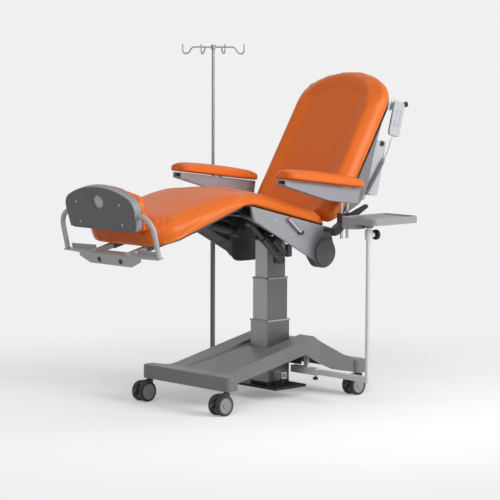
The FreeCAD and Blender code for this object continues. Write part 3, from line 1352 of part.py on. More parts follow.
for end, x in (("front", castor_front_x), ("rear", castor_rear_x)):
    for hand_name, s in (("left", -1), ("right", 1)):
        tag = end + "_" + hand_name
        y = s * castor_y
        wx = x - castor_trail
        r = wheel_d / 2
        inner = wheel_gap / 2
        hw = inner - hood_gap
        wheels = rod_y(axle_d / 2, wx, y - inner - 2.0, y + inner + 2.0, r)
        for k in (1, -1):
            y0 = y + k * inner
            y1 = y0 + k * wheel_w
            tread = rod_y(r, wx, y0, y1, r)
            tread = tread.makeFillet(5.0, [e for e in tread.Edges if e.Curve.TypeId == "Part::GeomCircle"])
            dish = rod_y(r - 14.0, wx, y1 - k * 4.0, y1, r)
            cap = rod_y(14.0, wx, y1 - k * 4.0, y1, r)
            wheels = wheels.fuse(tread.cut(dish)).fuse(cap)
        nodes["castor_wheels_" + tag] = wheels.removeSplitter()
        hood = rod_y(hood_r, wx, y - hw, y + hw, r)
        hood_top = wheel_d + 4.0
        neck = box(wx - 8.0, x + 14.0, y - hw, y + hw, r + 10.0, hood_top)
        collar = Part.makeCylinder(hw, cross_z1 - 50.5 - hood_top + 4.0, V(x, y, hood_top - 4.0))
        stem = Part.makeCylinder(stem_d / 2, 165.0 - hood_top + 4.0, V(x, y, hood_top - 4.0))
        fork = fuse(hood, neck, collar, stem)
        pedal_x = wx - 30.0
        pedal_z = r + 10.0
        side = pedal_w / 2 + 0.5
        fork = fork.cut(box(wx - 60.0, wx - 20.0, y - side, y + side, r - 12.0, r + 38.0))
        fork = fork.cut(rod_y(axle_d / 2 + run_fit, wx, y - 30.0, y + 30.0, r))
        nodes["castor_fork_" + tag] = fork.cut(rod_y(2.5 + run_fit, pedal_x, y - 30.0, y + 30.0, pedal_z))
        pedal_pts = [(pedal_x, pedal_z + 6.0), (wx - 56.0, r + 16.0), (wx - 70.0, r + 4.0),
                     (wx - 66.0, r - 2.0), (wx - 54.0, r + 4.0), (pedal_x, pedal_z - 6.0)]
        pedal = lug(pedal_pts, pedal_x, pedal_z, 6.0, y - pedal_w / 2, pedal_w)
        nodes["castor_brake_" + tag] = fuse(pedal, rod_y(2.5, pedal_x, y - hw, y + hw, pedal_z))

# Reports on the curly cord

radii = [e.Curve.Radius for e in cord_edges if e.Curve.TypeId == "Part::GeomCircle"]
length = sum(e.Length for e in cord_edges)
section = math.pi * cord_d ** 2 / 4
tube_volume = nodes["handset_cord"].Volume
print("cord arcs: least radius %.2f, greatest %.2f" % (min(radii), max(radii)))
print("cord volume %.0f, section by length %.0f" % (tube_volume, section * length))
walk = []
for e in cord_edges:
    walk += e.discretize(6)[1:]
apart = 12
least = 1000.0
for i, p in enumerate(walk):
    for q in walk[i + apart:i + 160]:
        least = min(least, (p - q).Length)
print("cord gap to itself %.2f" % (least - cord_d))

os.makedirs("parts", exist_ok=True)
for name, shape in nodes.items():
    print(name, shape.isValid(), len(shape.Solids), round(shape.Volume / 1000.0, 1))
    shape.exportStep("parts/%s.step" % name)
print(len(nodes), "nodes")
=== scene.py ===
"""Looks of an electric treatment couch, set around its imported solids."""

import logging
import math
from contextlib import contextmanager
from dataclasses import dataclass
from enum import Enum
from typing import Callable, Iterable, Iterator, Sequence

import bpy
import numpy as np
from mathutils import Matrix, Vector


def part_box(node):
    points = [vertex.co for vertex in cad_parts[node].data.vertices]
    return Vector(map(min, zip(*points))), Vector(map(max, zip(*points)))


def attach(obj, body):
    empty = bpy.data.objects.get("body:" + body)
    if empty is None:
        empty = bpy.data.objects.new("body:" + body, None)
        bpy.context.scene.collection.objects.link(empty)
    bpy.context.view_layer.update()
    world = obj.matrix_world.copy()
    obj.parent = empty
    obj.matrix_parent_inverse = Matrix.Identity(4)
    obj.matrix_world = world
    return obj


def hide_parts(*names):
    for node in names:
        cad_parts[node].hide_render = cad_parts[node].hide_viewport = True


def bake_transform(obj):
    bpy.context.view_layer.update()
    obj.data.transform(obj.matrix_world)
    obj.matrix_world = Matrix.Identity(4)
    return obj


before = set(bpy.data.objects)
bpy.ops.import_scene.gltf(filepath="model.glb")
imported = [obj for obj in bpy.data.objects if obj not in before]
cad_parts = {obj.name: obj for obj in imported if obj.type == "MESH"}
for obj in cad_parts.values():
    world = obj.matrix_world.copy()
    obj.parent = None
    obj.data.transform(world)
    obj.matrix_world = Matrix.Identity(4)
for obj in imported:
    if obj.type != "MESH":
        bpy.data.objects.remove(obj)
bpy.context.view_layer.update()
LOG = logging.getLogger("couch")
PER_METRE = 1000
SIDES = ("left", "right")
Point = tuple[float, float, float]
Colour = tuple[int, int, int]
Piece = bpy.types.Object
Node = bpy.types.Node
Socket = bpy.types.NodeSocket
Tree = bpy.types.NodeTree
Value = Socket | float | Sequence[float]
Move = Callable[[np.ndarray], np.ndarray]
Test = Callable[[Vector, Vector], bool]


def linear(colour: Colour, factor: float = 1.0) -> list[float]:
    """Turn a colour of 0 to 255 per channel into scene values.

    Args:
        colour: Red, green and blue.
        factor: What each channel is multiplied by.

    Returns:
        The colour as a shader socket takes it.
    """
    share = np.array(colour) / 255
    scene = np.where(share <= 0.04045, share / 12.92, ((share + 0.055) / 1.055) ** 2.4)
    return [*np.minimum(scene * factor, 1.0).tolist(), 1.0]


def rise(value: np.ndarray, low: float, high: float) -> np.ndarray:
    """Rise smoothly from 0 at low to 1 at high.

    Args:
        value: The measured values.
        low: Where the rise starts.
        high: Where it ends.

    Returns:
        The share for each value.
    """
    t = np.clip((value - low) / (high - low), 0.0, 1.0)
    return t * t * (3 - 2 * t)


@dataclass(frozen=True)
class Section:
    """A flat section of the couch, measured in millimetres from its hinge.

    Attributes:
        x: Hinge place along the couch.
        z: Hinge height.
        turn: Turn about the crosswise axis, in degrees.
    """

    x: float
    z: float
    turn: float

    def place(self, along: np.ndarray, across: np.ndarray, up: np.ndarray) -> tuple:
        """Give distances in this section as distances in the couch's frame.

        Args:
            along: Distances along the section.
            across: Distances across it.
            up: Heights over its hinge plane.

        Returns:
            The distances x, y and z, in millimetres.
        """
        a = math.radians(self.turn)
        x = along * math.cos(a) + up * math.sin(a) + self.x
        return x, across, up * math.cos(a) - along * math.sin(a) + self.z

    def world(self, along: float, across: float, up: float) -> Vector:
        """Give a point of this section in metres in the couch's frame."""
        return Vector(self.place(along, across, up)) / PER_METRE

    def direction(self, along: float, across: float, up: float) -> Vector:
        """Give a direction of this section in the couch's frame."""
        return (self.world(along, across, up) - self.world(0, 0, 0)).normalized()

    def local(self, points: np.ndarray) -> np.ndarray:
        """Give points of the couch's frame in this section.

        Args:
            points: Rows of x, y, z, in metres.

        Returns:
            Rows of along, across, up, in millimetres.
        """
        a = math.radians(self.turn)
        hinge = np.array((self.x, 0, self.z), points.dtype)
        x, y, z = (points * PER_METRE - hinge).T
        along = x * math.cos(a) - z * math.sin(a)
        return np.stack([along, y, x * math.sin(a) + z * math.cos(a)], axis=1)


FLOOR = Section(0.0, 0.0, 0.0)
SEAT = Section(-422.3, 971.5, 13.9)
LEG = Section(-422.3, 971.5, -13.5)
BACK = Section(169.97, 890.03, -58.5)
ARM = Section(-25.5, 1078.3, 7.2)


class Bench:
    """Modelling moves that the sub-assemblies share.

    Attributes:
        shade_angle: Angle under which faces shade as one.
        sharp_angle: Angle over which an edge is rounded.
        weld: Distance under which points are one, in metres.
    """

    shade_angle = math.radians(35)
    sharp_angle = math.radians(30)
    weld = 0.00002

    @staticmethod
    def clear() -> None:
        """Leave edit mode and deselect everything."""
        if bpy.context.object and bpy.context.object.mode != "OBJECT":
            bpy.ops.object.mode_set(mode="OBJECT")
        bpy.ops.object.select_all(action="DESELECT")

    @staticmethod
    def only(obj: Piece) -> None:
        """Select one object alone and make it active.

        Args:
            obj: The object.
        """
        Bench.clear()
        obj.select_set(True)
        bpy.context.view_layer.objects.active = obj

    @staticmethod
    @contextmanager
    def editing(obj: Piece, mode: str = "VERT") -> Iterator[None]:
        """Hold one object in edit mode.

        Args:
            obj: The object.
            mode: What is selected: VERT, EDGE or FACE.

        Yields:
            Nothing.
        """
        Bench.only(obj)
        bpy.ops.object.mode_set(mode="EDIT")
        bpy.ops.mesh.select_mode(type=mode)
        yield
        bpy.ops.object.mode_set(mode="OBJECT")

    @staticmethod
    def choose(obj: Piece, kind: str, test: Callable) -> int:
        """Select the points, edges or faces that pass a test, and nothing else.

        Args:
            obj: The object.
            kind: vertices, edges or polygons.
            test: Takes one of them.

        Returns:
            How many are selected.
        """
        count = 0
        for each in ("vertices", "edges", "polygons"):
            for item in getattr(obj.data, each):
                item.select = each == kind and bool(test(item))
                count += item.select
        return count

    @staticmethod
    def modify(obj: Piece, kind: str, **settings: object) -> None:
        """Add a modifier and apply it.

        Args:
            obj: The object.
            kind: The modifier's type.
            **settings: Its settings.
        """
        change = obj.modifiers.new(kind.lower(), kind)
        for name, value in settings.items():
            setattr(change, name, value)
        Bench.only(obj)
        bpy.ops.object.modifier_apply(modifier=change.name)

    @staticmethod
    def round_edges(obj: Piece, width: float, segments: int = 3) -> None:
        """Bevel an object's sharp edges by a width in metres."""
        Bench.modify(obj, "BEVEL", width=width, segments=segments, limit_method="ANGLE",
                     angle_limit=Bench.sharp_angle)

    @staticmethod
    def ease(obj: Piece, rounds: int) -> None:
        """Smooth a mesh."""
        Bench.modify(obj, "SMOOTH", factor=0.5, iterations=rounds)

    @staticmethod
    def settle(obj: Piece) -> Piece:
        """Put an object's place into its mesh and shade it.

        Args:
            obj: The object.

        Returns:
            The same object.
        """
        Bench.only(obj)
        bpy.ops.object.transform_apply(location=True, rotation=True, scale=True)
        bpy.ops.object.shade_smooth_by_angle(angle=Bench.shade_angle)
        return obj

    @staticmethod
    def recess(obj: Piece, test: Test, rim: float, depth: float) -> None:
        """Inset the faces that pass a test and sink them along their normals.

        Args:
            obj: The object.
            test: Takes a face's centre and normal.
            rim: Width left around them, in metres.
            depth: Depth, in metres; a negative depth raises them.
        """
        if Bench.choose(obj, "polygons", lambda face: test(face.center, face.normal)):
            with Bench.editing(obj, "FACE"):
                bpy.ops.mesh.inset(thickness=rim, depth=-depth)

    @staticmethod
    def cut_edges(obj: Piece, test: Test, cuts: int) -> None:
        """Divide the edges whose two ends pass a test.

        Args:
            obj: The object.
            test: Takes an edge's two ends.
            cuts: Number of cuts in each.
        """
        ends = obj.data.vertices
        Bench.choose(obj, "edges", lambda edge: test(*[ends[i].co for i in edge.vertices]))
        with Bench.editing(obj, "EDGE"):
            bpy.ops.mesh.subdivide(number_cuts=cuts)

    @staticmethod
    def hull(obj: Piece) -> None:
        """Wrap a mesh in its convex hull.

        Args:
            obj: The object.
        """
        with Bench.editing(obj):
            bpy.ops.mesh.select_all(action="SELECT")
            bpy.ops.mesh.convex_hull()

    @staticmethod
    def drum(name: str, start: Vector, end: Vector, radius: float, sides: int) -> Piece:
        """Add a cylinder between two points as a start for a turned piece.

        Args:
            name: The piece's name.
            start: Centre of the first end, in metres.
            end: Centre of the other end.
            radius: Radius, in metres.
            sides: Number of sides.

        Returns:
            The object.
        """
        Bench.clear()
        run = end - start
        bpy.ops.mesh.primitive_cylinder_add(vertices=sides, radius=radius, depth=run.length,
                                            location=(start + end) / 2)
        obj = bpy.context.object
        obj.name = name
        obj.rotation_euler = run.to_track_quat("Z", "Y").to_euler()
        return Bench.settle(obj)

    @staticmethod
    def slab(name: str, section: Section, low: Point, high: Point) -> Piece:
        """Add a block in a section's own axes as a start for a moulded piece.

        Args:
            name: The piece's name.
            section: The section it is drawn in.
            low: Lowest corner, in millimetres.
            high: Highest corner, in millimetres.

        Returns:
            The object.
        """
        Bench.clear()
        centre = section.world(*[(a + b) / 2 for a, b in zip(low, high)])
        bpy.ops.mesh.primitive_cube_add(size=1, location=centre)
        obj = bpy.context.object
        obj.name = name
        obj.scale = [(b - a) / PER_METRE for a, b in zip(low, high)]
        obj.rotation_euler = (0, math.radians(section.turn), 0)
        return Bench.settle(obj)

    @staticmethod
    def joined(name: str, pieces: Sequence[Piece]) -> Piece:
        """Join several objects into one.

        Args:
            name: Its name.
            pieces: The objects.

        Returns:
            The one object.
        """
        Bench.only(pieces[0])
        for piece in pieces:
            piece.select_set(True)
        bpy.ops.object.join()
        pieces[0].name = name
        return pieces[0]

    @staticmethod
    def copied(name: str, source: Piece) -> Piece:
        """Copy an object's mesh into a new bare object.

        Args:
            name: The new object's name.
            source: The object that is copied.

        Returns:
            The new object.
        """
        copy = bpy.data.objects.new(name, source.data.copy())
        copy.data.materials.clear()
        bpy.context.scene.collection.objects.link(copy)
        return copy

    @staticmethod
    def facing(place: Vector, normal: Vector) -> Matrix:
        """Give the placement that turns a piece's +Z to a normal at a place."""
        return Matrix.Translation(place) @ normal.to_track_quat("Z", "Y").to_matrix().to_4x4()

    @staticmethod
    def stamped(name: str, model: Piece, places: Iterable[Matrix]) -> Piece:
        """Copy a modelled piece to several places, each with its own mesh, as one object.

        Args:
            name: The new object's name.
            model: The piece, modelled at the origin.
            places: Where its copies go.

        Returns:
            The joined copies; the model is removed.
        """
        copies = []
        for place in places:
            copies.append(Bench.copied(name, model))
            copies[-1].data.transform(place)
        bpy.data.objects.remove(model)
        return Bench.joined(name, copies)

    @staticmethod
    def node_copy(name: str, *nodes: str) -> Piece:
        """Copy solids of the frame into one new merged mesh.

        Args:
            name: The new piece's name.
            *nodes: The solids' names.

        Returns:
            The new object.
        """
        obj = Bench.joined(name, [Bench.copied(name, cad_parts[node]) for node in nodes])
        with Bench.editing(obj):
            bpy.ops.mesh.select_all(action="SELECT")
            bpy.ops.mesh.remove_doubles(threshold=Bench.weld)
        return obj

    @staticmethod
    def rows(mesh: bpy.types.Mesh, field: str = "co") -> np.ndarray:
        """Read a mesh's points, or their normals, as rows of x, y, z.

        Args:
            mesh: The mesh.
            field: co or normal.

        Returns:
            The rows.
        """
        values = np.zeros(len(mesh.vertices) * 3, np.float32)
        mesh.vertices.foreach_get(field, values)
        return values.reshape(-1, 3)

    @staticmethod
    def set_rows(obj: Piece, points: np.ndarray) -> None:
        """Write a mesh's points back."""
        obj.data.vertices.foreach_set("co", points.astype(np.float32).ravel())
        obj.data.update()

    @staticmethod
    def draw_in(obj: Piece, depth: float | np.ndarray) -> None:
        """Move a mesh's points in along their normals by a depth in metres."""
        points = Bench.rows(obj.data)
        Bench.set_rows(obj, points - Bench.rows(obj.data, "normal") * depth)

    @staticmethod
    def reshape(obj: Piece, section: Section, move: Move) -> None:
        """Move a mesh's points in a section's own axes.

        Args:
            obj: The object.
            section: The section.
            move: Takes rows of along, across, up in millimetres and gives the new rows.
        """
        points = move(section.local(Bench.rows(obj.data)))
        Bench.set_rows(obj, np.stack(section.place(*points.T), axis=1) / PER_METRE)


@dataclass(frozen=True)
class Graph:
    """A shader tree that nodes are added to.

    Attributes:
        tree: The tree.
    """

    tree: Tree

    @classmethod
    def of(cls, block: bpy.types.Material | bpy.types.World) -> "Graph":
        """Start on a material's or a world's own tree."""
        block.use_nodes = True
        return cls(block.node_tree)

    def put(self, socket: Socket, value: Value) -> None:
        """Link an input to an output, or set it.

        Args:
            socket: The input.
            value: An output, or a constant.
        """
        if isinstance(value, Socket):
            self.tree.links.new(value, socket)
        else:
            socket.default_value = value

    def node(self, kind: str, inputs: dict[str | int, Value], **settings: object) -> Node:
        """Add a node.

        Args:
            kind: Its type.
            inputs: Outputs to link or constants, by the input's name or number.
            **settings: The node's own settings.

        Returns:
            The node.
        """
        node = self.tree.nodes.new(kind)
        for name, value in settings.items():
            setattr(node, name, value)
        for name, value in inputs.items():
            self.put(node.inputs[name], value)
        return node

    def out(self, label: str, kind: str, inputs: dict[str | int, Value],
            **settings: object) -> Socket:
        """Add a node and give one of its outputs."""
        return self.node(kind, inputs, **settings).outputs[label]

    def sum(self, operation: str, *values: Value) -> Socket:
        """Add one sum."""
        return self.out("Value", "ShaderNodeMath", dict(enumerate(values)), operation=operation)

    def vector_sum(self, operation: str, *values: Value) -> Socket:
        """Add one sum of vectors that gives a number."""
        return self.out("Value", "ShaderNodeVectorMath", dict(enumerate(values)),
                        operation=operation)

    def mix(self, share: Value, plain: Value, other: Value, kind: str = "RGBA") -> Socket:
        """Mix two colours, or two numbers of kind FLOAT, by a share."""
        return self.out("Result", "ShaderNodeMix", {"Factor": share, "A": plain, "B": other},
                        data_type=kind)

    def span(self, value: Socket, low: float, high: float, start: float = 0.0, end: float = 1.0,
             way: str = "SMOOTHSTEP") -> Socket:
        """Lead from a start at low to an end at high.

        Args:
            value: What is measured.
            low: Its low mark.
            high: Its high mark.
            start: What comes out at the low mark.
            end: What comes out at the high mark.
            way: SMOOTHSTEP or LINEAR.

        Returns:
            The output.
        """
        marks = {"Value": value, "From Min": low, "From Max": high, "To Min": start, "To Max": end}
        return self.out("Result", "ShaderNodeMapRange", marks, interpolation_type=way)

    def noise(self, place: Socket, scale: Value, detail: float) -> Socket:
        """Add a noise."""
        return self.out("Fac", "ShaderNodeTexNoise",
                        {"Vector": place, "Scale": scale, "Detail": detail})

    def bump(self, strength: float, depth: float, height: Socket, **under: Socket) -> Socket:
        """Raise the surface by a height, over a Normal where one is given."""
        return self.out("Normal", "ShaderNodeBump",
                        {"Strength": strength, "Distance": depth, "Height": height, **under})

    def show(self, output: str, share: Socket, plain: Socket, other: Socket) -> None:
        """Mix two shaders by a share and show them on the tree's output node."""
        mixed = self.out("Shader", "ShaderNodeMixShader", {"Fac": share, 1: plain, 2: other})
        self.put(self.tree.nodes[output].inputs["Surface"], mixed)


class Surface(Enum):
    """Kinds of surface that a finish can be."""

    MOULDED = "moulded"
    PAINTED = "painted"
    BRIGHT = "bright"
    VINYL = "vinyl"


class Effects:
    """Shader groups that more than one finish uses."""

    @staticmethod
    def _group(name: str, inputs: Sequence[str], outputs: Sequence[str]) -> tuple:
        """Start a group with a vector input, number inputs and number outputs.

        Args:
            name: The group's name.
            inputs: Names of its number inputs.
            outputs: Names of its outputs.

        Returns:
            Its graph, what comes in and what goes out.
        """
        tree = bpy.data.node_groups.new(name, "ShaderNodeTree")
        tree.interface.new_socket("Place", in_out="INPUT", socket_type="NodeSocketVector")
        for way, labels in (("INPUT", inputs), ("OUTPUT", outputs)):
            for label in labels:
                tree.interface.new_socket(label, in_out=way, socket_type="NodeSocketFloat")
        enter, leave = (tree.nodes.new("NodeGroup" + end) for end in ("Input", "Output"))
        return Graph(tree), enter.outputs, leave.inputs

    @staticmethod
    def mottle() -> Tree:
        """Make slow tone changes over a surface, with faint streaks of handling.

        Returns:
            The group.
        """
        graph, enter, leave = Effects._group("mottle", ("Scale", "Streak"), ("Tone", "Gloss"))
        broad = graph.noise(enter["Place"], enter["Scale"], 3.0)
        fine = graph.noise(enter["Place"], 55.0, 4.0)
        graph.put(leave["Tone"], broad)
        graph.put(leave["Gloss"], graph.mix(enter["Streak"], broad, fine, "FLOAT"))
        return graph.tree

    @staticmethod
    def pores() -> Tree:
        """Make fine raised grain, as on moulded plastic, powder coat or vinyl.

        Returns:
            The group.
        """
        graph, enter, leave = Effects._group("pores", ("Scale", "Wrinkle"), ("Height",))
        cells = graph.out("Distance", "ShaderNodeTexVoronoi",
                          {"Vector": enter["Place"], "Scale": enter["Scale"]}, feature="SMOOTH_F1")
        soft = graph.noise(enter["Place"], 160.0, 5.0)
        graph.put(leave["Height"], graph.mix(enter["Wrinkle"], cells, soft, "FLOAT"))
        return graph.tree

    @staticmethod
    def seam() -> Tree:
        """Make a sewn seam: a groove with painted shade in it and a row of stitches beside it.

        Its place holds the distance from the seam and the distance along it, in metres.

        Returns:
            The group.
        """
        groove_edge, thread_edge, dash_edge = (0.0004, 0.0028), (0.0003, 0.0009), (0.62, 0.72)
        row, stitch_step, stitch_height = 0.0055, 0.0075, 0.35
        stitch_shade, painted_groove_shade = 0.25, 0.6
        graph, enter, leave = Effects._group("seam", (), ("Height", "Shade"))
        off, run, _ = graph.node("ShaderNodeSeparateXYZ", {"Vector": enter["Place"]}).outputs
        groove = graph.span(graph.sum("ABSOLUTE", off), *groove_edge)
        beside = graph.sum("ABSOLUTE", graph.sum("SUBTRACT", off, row))
        thread = graph.sum("SUBTRACT", 1.0, graph.span(beside, *thread_edge))
        along = graph.sum("FRACT", graph.sum("DIVIDE", run, stitch_step))
        dash = graph.sum("SUBTRACT", 1.0, graph.span(along, *dash_edge))
        stitch = graph.sum("MULTIPLY", thread, dash)
        graph.put(leave["Height"], graph.sum("MULTIPLY_ADD", stitch, stitch_height, groove))
        # Painted shade darkens the groove; the stitches get the thread's own darker colour.
        shade = graph.sum("MULTIPLY", graph.sum("SUBTRACT", 1.0, groove), painted_groove_shade)
        graph.put(leave["Shade"], graph.sum("MULTIPLY_ADD", stitch, stitch_shade, shade))
        return graph.tree


class Measure(Enum):
    """How a zone of a solid is measured."""

    ALONG = "along a direction"
    ACROSS = "outward from the couch's middle plane"
    RING = "outward from an axle across the couch"
    SIDEWAYS = "by how far a face looks sideways"


@dataclass(frozen=True)
class Zone:
    """A part of a solid that has its own colour or painted shade.

    Attributes:
        colour: Its colour, 0 to 255 per channel.
        measure: How it is measured.
        start: Where it starts, in metres, or as a share for SIDEWAYS.
        way: Direction that it is measured along, or the axle's place for RING.
        soft: Width of its edge.
        inside: True where it lies before the start.
        metal: True for bare metal.
        rough: Its roughness.
    """

    colour: Colour
    measure: Measure
    start: float
    way: Point = (0.0, 0.0, 0.0)
    soft: float = 0.0008
    inside: bool = False
    metal: bool = False
    rough: float = 0.5

    def mask(self, graph: Graph, place: Node) -> Socket:
        """Make the nodes that say where the zone is.

        Args:
            graph: The material's nodes.
            place: The node with the surface's own coordinates.

        Returns:
            A socket that is 1 in the zone and 0 outside it.
        """
        source = place.outputs["Normal" if self.measure is Measure.SIDEWAYS else "Object"]
        if self.measure is Measure.RING:
            axle = (-self.way[0], 0, -self.way[2])
            flat = {"Vector": source, "Location": axle, "Scale": (1, 0, 1)}
            value = graph.vector_sum("LENGTH", graph.out("Vector", "ShaderNodeMapping", flat))
        elif self.measure is Measure.ALONG:
            value = graph.vector_sum("DOT_PRODUCT", source, self.way)
        else:
            across = graph.out("Y", "ShaderNodeSeparateXYZ", {"Vector": source})
            value = graph.sum("ABSOLUTE", across)
        return graph.span(value, self.start, self.start + self.soft, float(self.inside),
                          float(not self.inside))


@dataclass(frozen=True)
class Finish:
    """One finish of the couch.

    Attributes:
        name: The finish's name.
        kind: What sort of surface it is.
        colour: Main colour, 0 to 255 per channel.
        shade: Share by which slow tone changes darken it.
        rough: Lowest and highest roughness.
        grain: Grain cells per metre.
        depth: Grain height, in metres.
        metal: Metalness.
        gloss: Specular level.
        zones: Parts with their own colours or painted shade, each over those before it.
    """

    name: str
    kind: Surface
    colour: Colour
    shade: float = 0.08
    rough: tuple[float, float] = (0.45, 0.6)
    grain: float = 900.0
    depth: float = 0.00008
    metal: float = 0.0
    gloss: float = 0.5
    zones: tuple[Zone, ...] = ()

    def tones(self, graph: Graph, colour: Colour, tone: Socket) -> Socket:
        """Vary a colour by a slow change of 0 to 1 over the surface."""
        dark, light = linear(colour, 1 - self.shade), linear(colour, 1 + 0.5 * self.shade)
        return graph.mix(tone, dark, light)

    def sew(self, graph: Graph, seam: Tree, normal: Socket,
            colour: Socket) -> tuple[Socket, Socket]:
        """Add the seam's groove, with painted shade in it, and stitches along the lines that a pad
        carries.

        Args:
            graph: The material's nodes.
            seam: The seam group.
            normal: The normal so far.
            colour: The colour so far.

        Returns:
            The new normal and colour.
        """
        lines = graph.out("Vector", "ShaderNodeAttribute", {}, attribute_name="seam")
        sewn = graph.node("ShaderNodeGroup", {"Place": lines}, node_tree=seam).outputs
        normal = graph.bump(0.8, 0.0012, sewn["Height"], Normal=normal)
        # Shade mixes toward the thread colour: painted shade in the groove, the thread's own
        # colour on the stitches.
        return normal, graph.mix(sewn["Shade"], colour, linear(self.colour, 0.8))

    def build(self, groups: dict[str, Tree]) -> bpy.types.Material:
        """Make the material's nodes.

        Args:
            groups: The shared effects by name.

        Returns:
            The material.
        """
        vinyl, bright = self.kind is Surface.VINYL, self.kind is Surface.BRIGHT
        material = bpy.data.materials.new(self.name)
        graph = Graph.of(material)
        shader = graph.tree.nodes["Principled BSDF"].inputs
        place = graph.node("ShaderNodeTexCoord", {})
        spot = place.outputs["Object"]
        mottle = graph.node("ShaderNodeGroup", {
            "Place": spot, "Scale": 4.0 if vinyl else 6.0, "Streak": 0.7 if bright else 0.3,
        }, node_tree=groups["mottle"]).outputs
        grain = graph.out("Height", "ShaderNodeGroup", {
            "Place": spot, "Scale": self.grain, "Wrinkle": 0.45 if vinyl else 0.3,
        }, node_tree=groups["pores"])
        colour = self.tones(graph, self.colour, mottle["Tone"])
        rough = graph.span(mottle["Gloss"], 0.3, 0.7, *self.rough, way="LINEAR")
        normal = graph.bump(0.6, self.depth, grain)
        graph.put(shader["Metallic"], self.metal)
        graph.put(shader["Specular IOR Level"], self.gloss)
        for zone in self.zones:
            mask = zone.mask(graph, place)
            colour = graph.mix(mask, colour, self.tones(graph, zone.colour, mottle["Tone"]))
            rough = graph.mix(mask, rough, zone.rough, "FLOAT")
            if zone.metal:
                graph.put(shader["Metallic"], mask)
        if vinyl:
            normal, colour = self.sew(graph, groups["seam"], normal, colour)
        for label, value in (("Base Color", colour), ("Roughness", rough), ("Normal", normal)):
            graph.put(shader[label], value)
        return material


